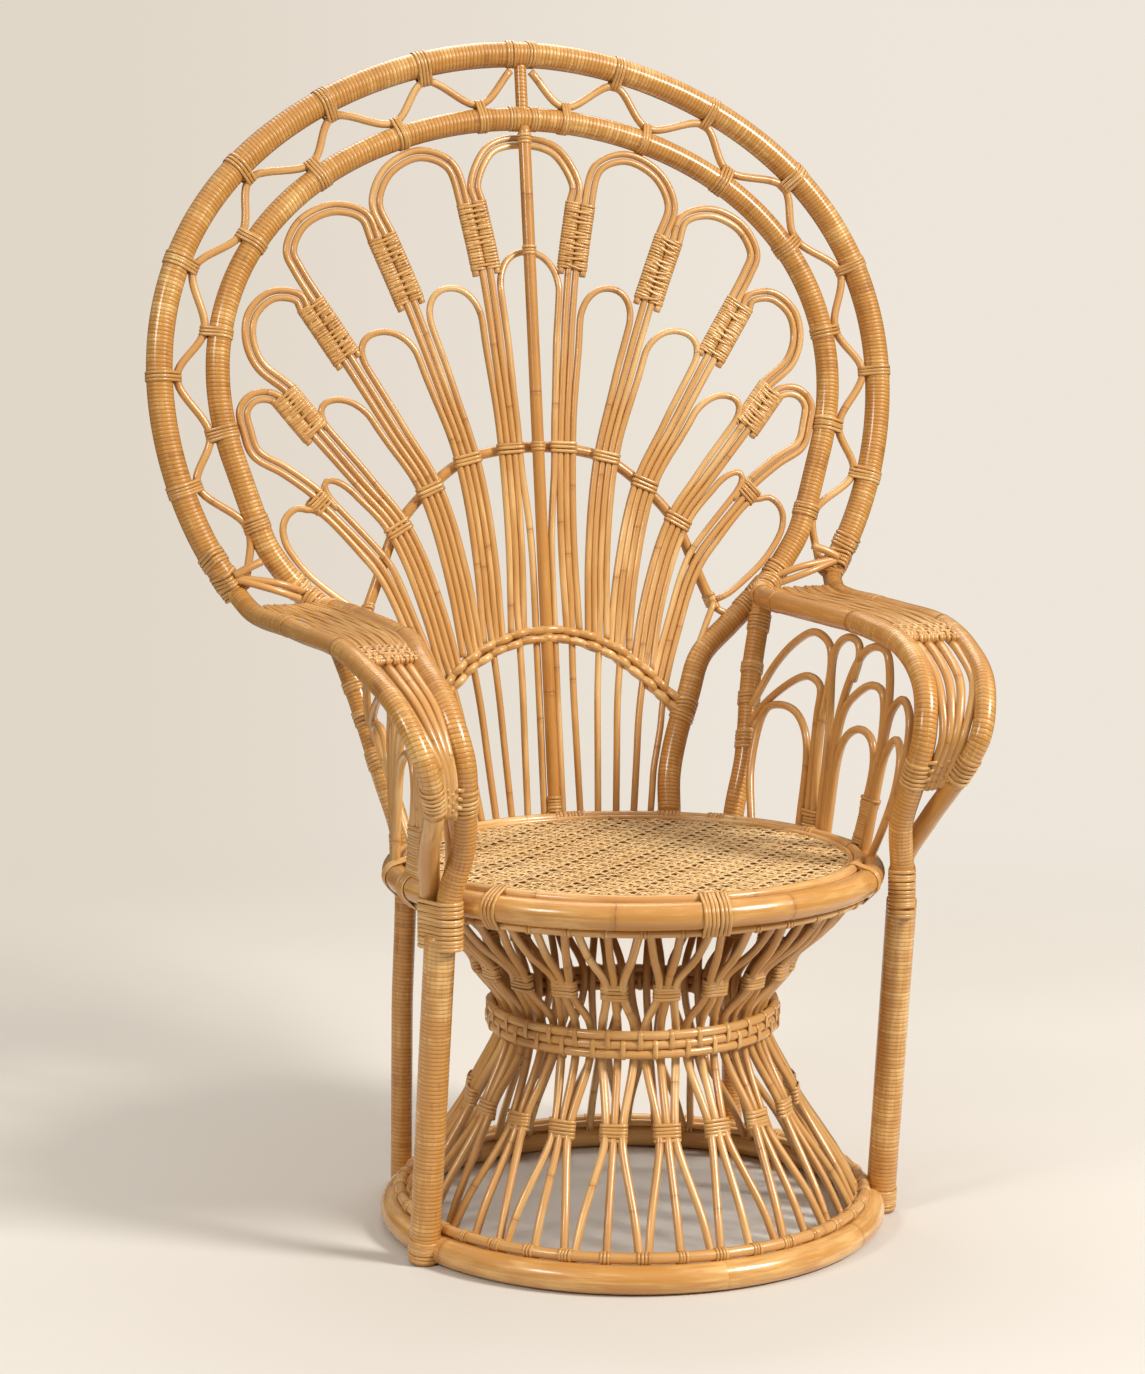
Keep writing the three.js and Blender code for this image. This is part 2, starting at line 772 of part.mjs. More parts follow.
// As a cutting tool a hoop is thicker by the extra, and as much longer at its ends
function outerHoop(extra = 0) {
  const points = outerHoopPoints();
  const [before, end] = points.slice(-2);
  points.push(end.clone().addScaledVector(end.clone().sub(before).normalize(), extra));
  return bentHoop(extra > 0 ? points : points.slice(0, -1), outer_hoop_pole + extra);
}

function innerHoop(extra = 0) {
  const points = innerHoopPoints();
  const foot = points[points.length - 1].clone().add(new THREE.Vector3(0, 0, -rim_pole));
  const hoop = bentHoop([...points, foot], inner_hoop_pole + extra);
  return extra > 0 ? hoop : cutBy(hoop, [seatRim(clearance)]);
}

function centrePost() {
  const bottom = onBack(0, -rim_pole, post_setback);
  const top = onBack(0, fan_height, post_setback);
  const post = sweep([bottom, top], roundSection(post_pole, hoop_sides), toBack);
  return cutBy(post, [seatRim(clearance), innerHoop(clearance)]);
}

function crownPost() {
  const outer_top = besideHoop(outer_hoop_radius, outer_hoop_form_share, 0);
  const ends = [fan_height, outer_top.y].map((up) => onBack(0, up));
  const post = sweep(ends, roundSection(post_pole, hoop_sides), toBack);
  return cutBy(post, [outerHoop(clearance), innerHoop(clearance)]);
}

// The cane that waves between the hoops, tied to each in turn
function hoopWave() {
  const step = outer_hoop_end_angle / wave_count;
  const inner = innerHoopLine();
  const offset = wave_pole + clearance;
  const points = [];
  for (let index = 0; index <= wave_count; index += 1) {
    const outward = index % 2 === 0;
    const place = outward
      ? besideHoop(outer_hoop_radius, outer_hoop_form_share, index * step, -outer_hoop_pole - offset)
      : besideLine(inner, index * step, inner_hoop_pole + offset);
    const across = index === 0 ? post_pole + wave_pole + clearance : place.x;
    points.push(onBack(across, place.y));
  }
  return cutBy(cane(points, wave_pole, toBack), [outerHoop(clearance), innerHoop(clearance)]);
}

// Bundle lines of the fan, as smooth curves in the plane of the back
const bundle_lines = bundle_share.map((shares) => {
  const points = shares.map(([across, up]) =>
    new THREE.Vector3(across * inner_hoop_radius, up * fan_height, 0),
  );
  return new THREE.CatmullRomCurve3(points, false, 'centripetal');
});

// A point beside a bundle line: rows run down it, offsets count cane pitches towards the
// middle of the fan and backwards. A row above the first goes straight on.
function besideBundle(bundle, row, across_pitches, behind_pitches = 0) {
  const line = bundle_lines[bundle];
  const t = Math.max(row, 0) / (line.points.length - 1);
  const ahead = line.getTangent(t);
  const here = line.getPoint(t).addScaledVector(ahead, Math.min(row, 0) * wrap_length);
  const side = new THREE.Vector2(ahead.y, -ahead.x).multiplyScalar(across_pitches * fan_pitch);
  return { across: here.x + side.x, up: here.y + side.y, behind: behind_pitches * fan_pitch };
}

function placed({ across, up, behind }) {
  return onBack(across, up, behind);
}

function opposite({ across, up, behind }) {
  return { across: -across, up, behind };
}

function fanCane(places, radius) {
  return sweep(places.map(placed), roundSection(radius, cane_sides), toBack);
}

// Where each cane of a bundle lies, in pitches from its line: the bundle closes up downwards,
// and the outer leg of a large petal slips behind its neighbour.
function closing(row) {
  return eased((row - bundle_open_row) / (bundle_closed_row - bundle_open_row));
}

function innerLegSlot(row) {
  return [mixed(-0.5, 0, closing(row)), 0];
}

function outerLegSlot(row) {
  const turn = (closing(row) * Math.PI) / 2;
  return [mixed(-0.5, 0, closing(row)) + Math.cos(turn), Math.sin(turn)];
}

function smallLegSlot(row) {
  return [mixed(small_leg_slot, 1, closing(row)), 0];
}

// All canes of a bundle bend at the same rows, so that they run side by side
function legPlaces(bundle, from, to, slot) {
  const rows = bundle_row_share.filter((row) => row >= from && row <= to);
  return rows.map((row) => besideBundle(bundle, row, ...slot(row)));
}

// A place of the fan, drawn in where a petal would touch the inner hoop
function withinHoop({ across, up, behind }) {
  const out = new THREE.Vector2(across, up - hoop_centre_height);
  const reach = hoop_reach(inner_hoop_radius, inner_hoop_form_share, Math.atan2(out.x, out.y));
  out.clampLength(0, reach - petal_inset);
  return { across: out.x, up: hoop_centre_height + out.y, behind };
}

// The head of a large petal, furthest behind at its middle
function largeHead(shares, bulge) {
  const middle = (shares.length - 1) / 2;
  return shares.map((share, index) => {
    const behind = bulge * (1 - Math.abs(index - middle) / middle);
    return withinHoop({ ...onShare(share), behind });
  });
}

// The round head of a small petal, as places on a leaning half ellipse
function smallHead(inner, outer, top_share, bulge) {
  const centre = new THREE.Vector2(inner.across + outer.across, inner.up + outer.up).multiplyScalar(1 / 2);
  const half = new THREE.Vector2(outer.across, outer.up).sub(centre);
  const top = onShare(top_share);
  const rise = new THREE.Vector2(top.across, top.up).sub(centre);
  const places = [];
  for (let index = 0; index <= head_steps; index += 1) {
    const angle = Math.PI * (1 - index / head_steps);
    const across = centre.x + half.x * Math.cos(angle) + rise.x * Math.sin(angle);
    const up = centre.y + half.y * Math.cos(angle) + rise.y * Math.sin(angle);
    places.push({ across, up, behind: bulge * Math.sin(angle) });
  }
  return places;
}

function onShare([across, up]) {
  return { across: across * inner_hoop_radius, up: up * fan_height, behind: 0 };
}

// A large petal is a pair of canes bent over together. Below the splint wraps one cane of
// the pair runs on as each leg.
function largePetalPair(index, extra) {
  const wrapped = (bundle, side) => {
    return wrap_row_share.map((row) => besideBundle(bundle, row, side * pair_pitches));
  };
  const outer = wrapped(index, 1);
  const inner = index ? wrapped(index - 1, -1) : outer.map(opposite);
  const head = largeHead(large_petal_share[index], index ? 0 : petal_pass);
  const arch = stationsOf([inner[0], ...head, outer[0]].map(placed), petal_turn_angle);
  const [first, last] = [inner, outer].map((places) => placed(places[places.length - 1]));
  return sweep([first, ...arch, last], pairSection(fan_cane + extra, fan_pitch), toBack);
}

function largePetalLegs(index) {
  const outer = legPlaces(index, wrap_end, bundle_closed_row, outerLegSlot);
  const inner = index ? legPlaces(index - 1, wrap_end, seat_row, innerLegSlot) : outer.map(opposite);
  return [outer, inner];
}

// The last petal is a single cane that comes down beside the hoop
function lastPetal(index, extra) {
  const inner = legPlaces(index - 1, wrap_end, seat_row, innerLegSlot).reverse();
  const head = last_petal_share.map(onShare);
  return fanCane([...inner, besideBundle(index - 1, last_petal_row, -1 / 2), ...head], fan_cane + extra);
}

function largePetal(index, extra = 0) {
  if (index === large_petal_share.length) {
    return lastPetal(index, extra);
  }
  const legs = largePetalLegs(index).map((leg) => fanCane(leg, fan_cane + extra));
  return joined([largePetalPair(index, extra), ...legs]);
}

// The splint wrap that holds the four canes of two neighbouring petals
function bundleWrap(bundle) {
  const stations = wrap_share[bundle].map((row) => placed(besideBundle(bundle, row, 0)));
  const shape = wrapSection(fan_cane + wrap_wall, 2 * fan_pitch + wrap_wall);
  return sweep(stations, shape, toBack);
}

// A small petal nests between two bundles; the middle one runs on beside the post
function smallPetal(index, extra = 0) {
  const share = small_petal_share[index];
  const otherSlot = (row) => [-smallLegSlot(row)[0], 0];
  const legOf = (bundle, from, low, slot) => [
    besideBundle(bundle, ...from),
    ...legPlaces(bundle, Math.max(from[0], bundle_open_row) + row_play, low, slot),
  ];
  const outer = legOf(index, share.outer, index ? low_end_row : bundle_closed_row, smallLegSlot);
  const inner = index ? legOf(index - 1, share.inner, low_end_row, otherSlot) : outer.map(opposite);
  const bulge = index ? 0 : fan_pitch;
  const head = smallHead(inner[0], outer[0], share.top, bulge);
  const flank = index ? [] : post_flank_share.map(onShare);
  const left = [...inner.slice(1), ...flank.map(opposite)].reverse();
  const right = [...outer.slice(1), ...flank];
  return fanCane([...left, ...head, ...right], fan_cane + extra);
}

// What the arcs are cut by: every cane of the fan, a little thicker than it is
function fanTools() {
  const large = [...large_petal_share, last_petal_share].map((_, index) => largePetal(index, clearance));
  const small = small_petal_share.map((_, index) => smallPetal(index, clearance));
  const right = [...large, ...small];
  return [...right, ...right.map(mirrored)];
}

function bothSides(shares, behind) {
  const right = shares.map((share) => onFan(share, behind));
  const left = shares.slice(1).map(([across, up]) => onFan([-across, up], behind)).reverse();
  return [...left, ...right];
}

function arcTie(centre, ahead, half_width) {
  const reach = mid_arc_tie / 2;
  const ends = [-reach, reach].map((along) => centre.clone().addScaledVector(ahead, along));
  return sweep(ends, wrapSection(arc_tie_depth / 2 + wrap_wall, half_width), toBack);
}

// The pole that runs across behind the canes, tied to each bundle
function midArc() {
  const section = roundSection(mid_arc_pole, thin_ring_sides);
  const arc = sweep(bothSides(mid_arc_share, arc_setback), section, toBack);
  const middle = arc_setback + mid_arc_pole - arc_tie_depth / 2;
  const half_width = (arc_tie_canes / 2) * fan_pitch + wrap_wall;
  const ties = [];
  bundle_share.slice(0, -1).forEach((_, bundle) => {
    const above = placed(besideBundle(bundle, bundle_arc_row - arc_probe, 0));
    const below = placed(besideBundle(bundle, bundle_arc_row + arc_probe, 0));
    const centre = placed({ ...besideBundle(bundle, bundle_arc_row, 0), behind: middle });
    const tie = arcTie(centre, below.sub(above).normalize(), half_width);
    ties.push(tie, mirrored(tie));
  });
  return joined([arc, ...ties]);
}

// The woven band between the canes, low over the seat
function lowArc() {
  return sweep(bothSides(low_arc_share, 0), wrapSection(low_arc_depth, low_arc_row), toBack);
}

// Rails, legs and posts of the arms
function railPoint(share, span) {
  const [across, forward, up] = share;
  return new THREE.Vector3(across * span, arm_back - forward * arm_length, front_leg_height + up * arm_rise);
}

function onRail(points, row) {
  return new THREE.CatmullRomCurve3(points, false, 'centripetal').getPoint(row / (points.length - 1));
}

// Where a line that runs down meets a height
function atHeight(points, height) {
  const next = Math.max(1, points.findIndex((point) => point.z < height));
  const [high, low] = [points[next - 1], points[next]];
  return high.clone().lerp(low, (high.z - height) / (high.z - low.z));
}

function collarPoint(offset, height) {
  const top = polar(leg_top_radius, front_leg_angle, height);
  const along = polar(1, front_leg_angle + 90, 0);
  return top.addScaledVector(along, offset);
}

function railEnd(offset) {
  const top = front_leg_height + collar_length - collar_lap;
  return [collarPoint(offset, top), collarPoint(offset, front_leg_height - collar_lap)];
}

// Rails stand on the flat top of the front leg
function onLeg(rail) {
  return rail.trimByPlane([0, 0, 1], front_leg_height + clearance);
}

function innerRailPoints() {
  const start = atHeight(innerHoopPoints(), arm_height + rail_start_rise);
  const length = inner_rail_share.map((share) => railPoint(share, inner_rail_span));
  return [start, ...length, ...railEnd(inner_rail_offset)];
}

function outerRailPoints() {
  const [start] = outerHoopPoints().slice(-1);
  const length = outer_rail_share.map((share) => railPoint(share, outer_rail_span));
  return [start, ...length, ...railEnd(outer_rail_offset)];
}

function innerRail(extra = 0) {
  const rail = pole(innerRailPoints(), inner_rail_pole + extra, toSide);
  return extra > 0 ? rail : onLeg(fitted(rail, [innerHoop(clearance)]));
}

function outerRail(extra = 0) {
  const rail = pole(outerRailPoints(), outer_rail_pole + extra, toSide);
  return extra > 0 ? rail : onLeg(fitted(rail, [outerHoop(clearance)]));
}

// A foot sawn level with the floor
function onFloor(leg) {
  return leg.trimByPlane([0, 0, 1], 0);
}

// A leg between two places, longer at both ends, so that it can be sawn level there
function longLeg(foot, top) {
  const along = top.clone().sub(foot).multiplyScalar(foot_trim / top.z);
  const ends = [foot.clone().sub(along), top.clone().add(along)];
  return onFloor(sweep(ends, roundSection(front_leg_pole, pole_sides), fromAxis));
}

// The leg is notched round the base ring, and its foot stands on the floor beside it
function frontLeg() {
  const foot = polar(front_foot_radius, front_foot_angle, 0);
  const top = polar(leg_top_radius, front_leg_angle, front_leg_height);
  const post = longLeg(foot, top).trimByPlane([0, 0, -1], -front_leg_height);
  const leg = fitted(post, [baseRing(clearance), baseTieRing(clearance)]);
  const low = front_leg_height - collar_lap;
  const collar = sweep(
    [low, low + collar_length].map((height) => collarPoint(0, height)),
    wrapSection(front_leg_pole + collar_wall, collar_half_width),
    fromAxis,
  );
  return joined([leg, cutBy(collar, [innerRail(clearance), outerRail(clearance)])]);
}

function rearPost(extra = 0) {
  const rise = rim_height / 2;
  const [low, high] = [base_radius + base_pole, rim_radius + rim_pole].map(
    (radius) => radius + rear_post_pole + clearance,
  );
  const points = [
    polar(low, rear_post_angle, -foot_trim),
    polar(mixed(low, high, 1 / 2), rear_post_angle, rise),
    polar(high, rear_post_angle, rim_height),
    ...rear_post_share.map(([across, back, up]) => {
      const height = mixed(rim_height, arm_height, up);
      return new THREE.Vector3(across * arm_back, back * arm_back, height);
    }),
    onRail(innerRailPoints(), post_top_row).setZ(arm_height - post_top_drop),
  ];
  const post = onFloor(pole(points, rear_post_pole + extra, fromAxis));
  return extra > 0 ? post : fitted(post, [innerRail(clearance), innerHoop(clearance)]);
}

// A point between the two rails: rows count down the tables, the share runs outwards
function betweenRails(row, share) {
  return onRail(innerRailPoints(), row).lerp(onRail(outerRailPoints().slice(1), row), share);
}

// Slats down the front of the arm, with the flat woven top and the band that hold them
function armSlats() {
  const slats = Array.from({ length: slat_count }, (_, index) => {
    const share = (index + 1) / (slat_count + 1);
    const stations = slat_row_share.map((row) => betweenRails(row, share));
    return sweep(stations, roundSection(slat_pole, cane_sides), toSide);
  });
  const inner = panel_row_share.map((row) => betweenRails(row, 0));
  const outer = panel_row_share.map((row) => betweenRails(row, 1)).reverse();
  const outline = new THREE.Shape([...outer, ...inner].map((point) => new THREE.Vector2(point.x, point.y)));
  const extrusion = { depth: arm_panel_thickness, steps: 1, bevelEnabled: false };
  const sheet = new THREE.ExtrudeGeometry(outline, extrusion);
  sheet.translate(0, 0, arm_height - arm_panel_drop);
  const [above, below] = arm_band_row_share.map((row) => betweenRails(row, 1 / 2));
  const width = betweenRails(arm_band_row_share[0], 1).x - betweenRails(arm_band_row_share[0], 0).x;
  const band = sweep([above, below], wrapSection(width / 2, slat_pole + arm_band_wall), toSide);
  return cutBy(joined([...slats, solidOf(sheet), band]), [innerRail(clearance), outerRail(clearance)]);
}

// A point of the side under the arm, between the seat rim and the inner rail
function onArmSide([along, up]) {
  const rim = polar(rim_radius, mixed(arm_side_back_angle, arm_side_front_angle, along), seat_level);
  const top = onRail(innerRailPoints(), mixed(arm_side_first_row, arm_side_last_row, along));
  top.z -= inner_rail_pole + arm_fan_cane + clearance;
  top.y += (arm_side_inset * Math.max(0, along - arm_side_bend)) / (1 - arm_side_bend);
  return rim.lerp(top, up);
}

// Canes that fan out under the arm, held by two ties
function armFan() {
  const canes = arm_fan_share.map((shares) => {
    const points = shares.map(onArmSide);
    const stations = stationsOf(points, arm_fan_turn_angle);
    return sweep(stations, roundSection(arm_fan_cane, hourglass_sides), fromAxis);
  });
  const ties = arm_bundle_share.map(({ from, to, up }) => {
    const ends = [from, to].map((along) => onArmSide([along, up]));
    const upright = () => new THREE.Vector3(0, 0, 1);
    return sweep(ends, wrapSection(arm_fan_tie / 2, arm_fan_cane + arm_band_wall), upright);
  });
  const tools = [seatRim(clearance), rearPost(clearance), innerRail(clearance), seatTopRing(clearance)];
  return cutBy(joined([...canes, ...ties]), tools);
}

const group = new THREE.Group();
const honey = { color: 0xd9a35c, roughness: 0.45, metalness: 0 };
const pale = { color: 0xe3b674, roughness: 0.5, metalness: 0 };
const splint = { color: 0xc98f4a, roughness: 0.55, metalness: 0 };

function add(name, solid, finish) {
  const plain = solid.asOriginal().simplify(flatness);
  const mesh = new THREE.Mesh(geometryOf(plain), new THREE.MeshStandardMaterial(finish));
  mesh.name = name;
  group.add(mesh);
}

function addBoth(name, solid, finish, number = '') {
  add(`${name}_right${number}`, solid, finish);
  add(`${name}_left${number}`, mirrored(solid), finish);
}

add('base_ring', baseRing(), honey);
add('base_tie_ring', baseTieRing(), pale);
add('waist_band', waistBand(), splint);
add('seat_rim', seatRim(), honey);
add('seat_under_ring', seatUnderRing(), pale);
add('seat_top_ring', seatTopRing(), pale);
add('seat_panel', seatPanel(), pale);
add('seat_brace_front', seatBrace(-1), honey);
add('seat_brace_back', seatBrace(1), honey);
const pair_count = cluster_count / 2;
for (let index = 0; index < pair_count; index += 1) {
  add(`cluster_pair_${index + 1}`, clusterPair(((index + 1 / 2) * 360) / pair_count), honey);
}
add('outer_hoop', outerHoop(), splint);
add('inner_hoop', innerHoop(), splint);
add('centre_post', centrePost(), honey);
add('crown_post', crownPost(), splint);
addBoth('hoop_wave', hoopWave(), honey);
const arc_tools = [...fanTools(), centrePost(), innerHoop(clearance)];
add('mid_arc', cutBy(midArc(), arc_tools), honey);
add('low_arc', cutBy(lowArc(), arc_tools), honey);
add('large_petal_middle', largePetal(0), pale);
for (let index = 1; index <= large_petal_share.length; index += 1) {
  const wrap = cutBy(bundleWrap(index - 1), [largePetal(index - 1, clearance)]);
  addBoth('large_petal', joined([largePetal(index), wrap]), pale, `_${index}`);
}
add('small_petal_middle', smallPetal(0), pale);
for (let index = 1; index < small_petal_share.length; index += 1) {
  addBoth('small_petal', smallPetal(index), pale, `_${index}`);
}
addBoth('front_leg', frontLeg(), splint);
addBoth('rear_post', rearPost(), splint);
addBoth('inner_rail', innerRail(), splint);
addBoth('outer_rail', outerRail(), splint);
addBoth('arm_slats', armSlats(), pale);
addBoth('arm_fan', armFan(), pale);

// The middle of the whole chair stands over the origin
const box = new THREE.Box3().setFromObject(group);
const shift = -(box.min.y + box.max.y) / 2;
group.children.forEach((mesh) => mesh.geometry.translate(0, shift, 0));

export default group;
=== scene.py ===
# %% [markdown]
# # A peacock chair of rattan
# The imported model gives every piece its place and size. This lesson dresses it: each
# cane, hoop and tie is built again in fine detail where the model says it is, and gets a
# finish made of nodes. Cells run from top to bottom, and many print what they made.

# %% Load the frame and keep its box
import math

import bpy
import numpy as np
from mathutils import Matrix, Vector


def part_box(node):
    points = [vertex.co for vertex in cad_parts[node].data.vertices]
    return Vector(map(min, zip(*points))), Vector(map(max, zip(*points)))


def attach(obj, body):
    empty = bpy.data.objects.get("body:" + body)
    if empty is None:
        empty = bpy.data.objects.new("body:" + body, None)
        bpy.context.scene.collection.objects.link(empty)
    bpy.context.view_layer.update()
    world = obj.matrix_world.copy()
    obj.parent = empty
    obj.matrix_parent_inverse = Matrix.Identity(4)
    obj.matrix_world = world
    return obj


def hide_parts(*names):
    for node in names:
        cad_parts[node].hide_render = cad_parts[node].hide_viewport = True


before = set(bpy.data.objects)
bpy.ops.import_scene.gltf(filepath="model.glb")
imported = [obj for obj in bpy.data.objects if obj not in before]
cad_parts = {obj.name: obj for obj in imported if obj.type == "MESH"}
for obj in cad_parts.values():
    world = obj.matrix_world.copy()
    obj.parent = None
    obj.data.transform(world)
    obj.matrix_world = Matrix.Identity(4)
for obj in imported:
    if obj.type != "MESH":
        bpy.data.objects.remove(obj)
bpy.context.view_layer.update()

# %% [markdown]
# ## Workshop measures
# A rattan maker thinks in millimetres and works from the middle of the round base. The
# helpers below do the same: paths are written in millimetres about the base's axis, and
# only the finished mesh is turned into metres in the shared frame. Writing metres
# everywhere would also work, but the numbers would be hard to compare with a ruler.

# %% The axis of the base, and points round it
MM = 0.001
ring_low, ring_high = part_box("base_ring")
axis_y = (ring_low.y + ring_high.y) / 2
rng = np.random.default_rng(11)
mirror_of = {"right": np.array([1, 1, 1]), "left": np.array([-1, 1, 1])}


def polar(radius, azimuth, height):
    """Points round the axis: azimuth 0 is the front, 90 the sitter's left."""
    radius, azimuth, height = np.broadcast_arrays(radius, azimuth, height)
    angle = np.radians(azimuth)
    return np.stack([radius * np.sin(angle), -radius * np.cos(angle), height], -1).astype(float)


def outward_of(path):
    """The way out from the axis, level with the floor."""
    return path * [1, 1, 0]


print("axis of the base at y =", round(axis_y, 4), "m")

# %% [markdown]
# ## Smooth paths
# A cane bends as a smooth line through the few places where it is held. A spline through
# those places does the same. The centripetal kind never loops at a tight bend, which the
# more common uniform kind does. The path is then cut into even steps, so that the rings
# of every tube are the same distance apart and the grain isn't stretched.

# %% Splines through held places
spline_steps, row_steps = 24, 40


def spline(points, steps=spline_steps):
    """A centripetal spline, with a number of points for each stretch."""
    p = np.asarray(points, float)
    p = np.vstack([2 * p[0] - p[1], p, 2 * p[-1] - p[-2]])
    gaps = np.maximum(np.linalg.norm(np.diff(p, axis=0), axis=1), 1e-4) ** 0.5
    t = np.linspace(0, 1, steps, endpoint=False)[:, None]
    fine = []
    for i in range(1, len(p) - 2):
        d0, d1, d2 = gaps[i - 1 : i + 2]
        before, here, ahead, beyond = p[i - 1 : i + 3]
        a = ((here - before) / d0 - (ahead - before) / (d0 + d1) + (ahead - here) / d1) * d1
        b = ((ahead - here) / d1 - (beyond - here) / (d1 + d2) + (beyond - ahead) / d2) * d1
        cubic = 2 * here - 2 * ahead + a + b
        square = 3 * ahead - 3 * here - 2 * a - b
        fine.append((cubic * t + square) * t * t + a * t + here)
    return np.vstack(fine + [p[-2:-1]])


def even(path, step):
    """The same line, cut into even steps."""
    along = np.r_[0, np.cumsum(np.linalg.norm(np.diff(path, axis=0), axis=1))]
    count = max(2, int(round(along[-1] / step)) + 1)
    at = np.linspace(0, along[-1], count)
    return np.stack([np.interp(at, along, path[:, k]) for k in range(path.shape[1])], -1)


def smooth(points, step=7.0):
    return even(spline(points), step)


def at_row(points, rows):
    """Places on the spline, by row: row 2.5 lies midway between the third and fourth point."""
    fine = spline(points, row_steps)
    place = np.clip(np.asarray(rows, float) * row_steps, 0, len(fine) - 1)
    index = np.arange(len(fine))
    return np.stack([np.interp(place, index, fine[:, k]) for k in range(fine.shape[1])], -1)


def ring(radius, height, step=7.0):
    """A closed circle round the axis."""
    count = int(2 * math.pi * radius / step)
    return polar(radius, np.arange(count) * 360 / count, height)


print("smooth() turns held places into even paths")

# %% [markdown]
# ## One mesh from many strands
# A chair like this has hundreds of strands. Blender's curve objects with a bevel could
# make each one, but a curve can't carry the grain's own coordinates as freely as a mesh.
# So a small builder collects swept tubes and strips into one mesh. It keeps, for every
# strand, how far round and how far along each corner is (the UV map "run"), and one
# random number for the strand (the attribute "tone"). All finishes read these two.

# %% The builder of swept strands


class Piece:
    """Swept canes and splints that become one object."""

    def __init__(self, name):
        self.name = name
        self.points, self.corners, self.sides, self.runs = [], [], [], []
        self.tones, self.finishes, self.names, self.count = [], [], [], 0

    def sweep(self, path, facing, section, finish, closed=False, scale=None, tone=None):
        """Carries a section (out, aside) in millimetres along a path."""
        n, m = len(path), len(section)
        if closed:
            ahead = np.roll(path, -1, axis=0) - np.roll(path, 1, axis=0)
        else:
            ahead = np.gradient(path, axis=0)
        ahead /= np.linalg.norm(ahead, axis=1)[:, None]
        facing = np.broadcast_to(facing, path.shape)
        out = facing - (facing * ahead).sum(1)[:, None] * ahead
        out /= np.linalg.norm(out, axis=1)[:, None]
        side = np.cross(ahead, out)
        size = np.ones(n) if scale is None else np.asarray(scale, float)
        offset = section[None, :, 0, None] * out[:, None] + section[None, :, 1, None] * side[:, None]
        self.points.append((path[:, None] + size[:, None, None] * offset).reshape(-1, 3))
        rows = n if closed else n - 1
        i, j = np.meshgrid(np.arange(rows), np.arange(m), indexing="ij")
        i, j = i.ravel(), j.ravel()
        following, nxt = (i + 1) % n, (j + 1) % m
        quads = np.stack([i * m + j, i * m + nxt, following * m + nxt, following * m + j], -1)
        self.corners.append((quads + self.count).ravel())
        self.sides.append(np.full(len(quads), 4))
        gaps = np.linalg.norm(np.diff(path, axis=0, append=path[:1] if closed else path[-1:]), axis=1)
        along = np.r_[0, np.cumsum(gaps)] * MM
        u0, u1, v0, v1 = j / m, (j + 1) / m, along[i], along[i + 1]
        self.runs.append(np.stack([u0, v0, u1, v0, u1, v1, u0, v1], -1).ravel())
        if not closed:
            caps = np.r_[np.arange(m)[::-1], (n - 1) * m + np.arange(m)]
            self.corners.append(caps + self.count)
            self.sides.append(np.full(2, m))
            self.runs.append(np.tile([0.5, 0.0], 2 * m))
        if finish not in self.names:
            self.names.append(finish)
        faces = len(quads) + (0 if closed else 2)
        self.finishes.append(np.full(faces, self.names.index(finish)))
        self.tones.append(np.full(n * m, rng.random() if tone is None else tone))
        self.count += n * m

    def make(self, nodes, slot):
        """Builds the object, and lets it stand for the CAD nodes."""
        points = np.vstack(self.points) * MM + np.array([0, axis_y, 0])
        corners, sides = np.concatenate(self.corners), np.concatenate(self.sides)
        mesh = bpy.data.meshes.new(self.name)
        mesh.vertices.add(len(points))
        mesh.vertices.foreach_set("co", points.ravel())
        mesh.loops.add(len(corners))
        mesh.loops.foreach_set("vertex_index", corners.astype(np.int32))
        mesh.polygons.add(len(sides))
        mesh.polygons.foreach_set("loop_start", np.r_[0, np.cumsum(sides)[:-1]].astype(np.int32))
        mesh.polygons.foreach_set("material_index", np.concatenate(self.finishes).astype(np.int32))
        mesh.uv_layers.new(name="run").data.foreach_set("uv", np.concatenate(self.runs))
        tone = mesh.attributes.new("tone", "FLOAT", "POINT")
        tone.data.foreach_set("value", np.concatenate(self.tones))
        mesh.update(calc_edges=True)
        mesh.polygons.foreach_set("use_smooth", sides == 4)
        piece = bpy.data.objects.new(self.name, mesh)
        bpy.context.scene.collection.objects.link(piece)
        for name in self.names:
            mesh.materials.append(finish_of(name))
        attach(piece, "root")
        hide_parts(*nodes)
        made[self.name] = len(sides)


made = {}


def round_section(radius, sides=12):
    angle = np.arange(sides) * 2 * math.pi / sides
    return radius * np.stack([np.cos(angle), np.sin(angle)], -1)


def splint_section(width, thick):
    """A flat split of cane: its outer face is slightly round."""
    shares = [(0, -0.5), (0.72, -0.42), (1, 0), (0.72, 0.42), (0, 0.5)]
    return np.array([(thick * out, width * aside) for out, aside in shares])


print("builder ready")

# %% [markdown]
# ## Ties
# Nearly every joint of a rattan chair is a tie: a wet splint is wound a few turns round
# the poles and shrinks tight. Seen along its axis, each turn is the tightest loop round
# the poles' sections, which is their convex hull. So `tie` draws the circles, takes the
# hull and sweeps a flat splint along it for each turn. Modelling one wide band instead
# would lose the small shadows between the turns, which show from a step away.

# %% The hull and the tie
unlike_any_axis = (0.3, 0.2, 0.93)
circle_sides, loop_step, loop_counts = 20, 4, (14, 44)
hand_lean, hand_slip = 0.02, 0.25


def hull(points):
    """The convex hull of points in a plane, counter-clockwise."""
    order = sorted(map(tuple, points))
    halves = []
    for run in (order, order[::-1]):
        half = []
        for p in run:
            while len(half) > 1 and turn_of(half[-2], half[-1], p) <= 0:
                half.pop()
            half.append(p)
        halves.append(half[:-1])
    return np.array(halves[0] + halves[1])


def turn_of(a, b, c):
    return (b[0] - a[0]) * (c[1] - a[1]) - (b[1] - a[1]) * (c[0] - a[0])


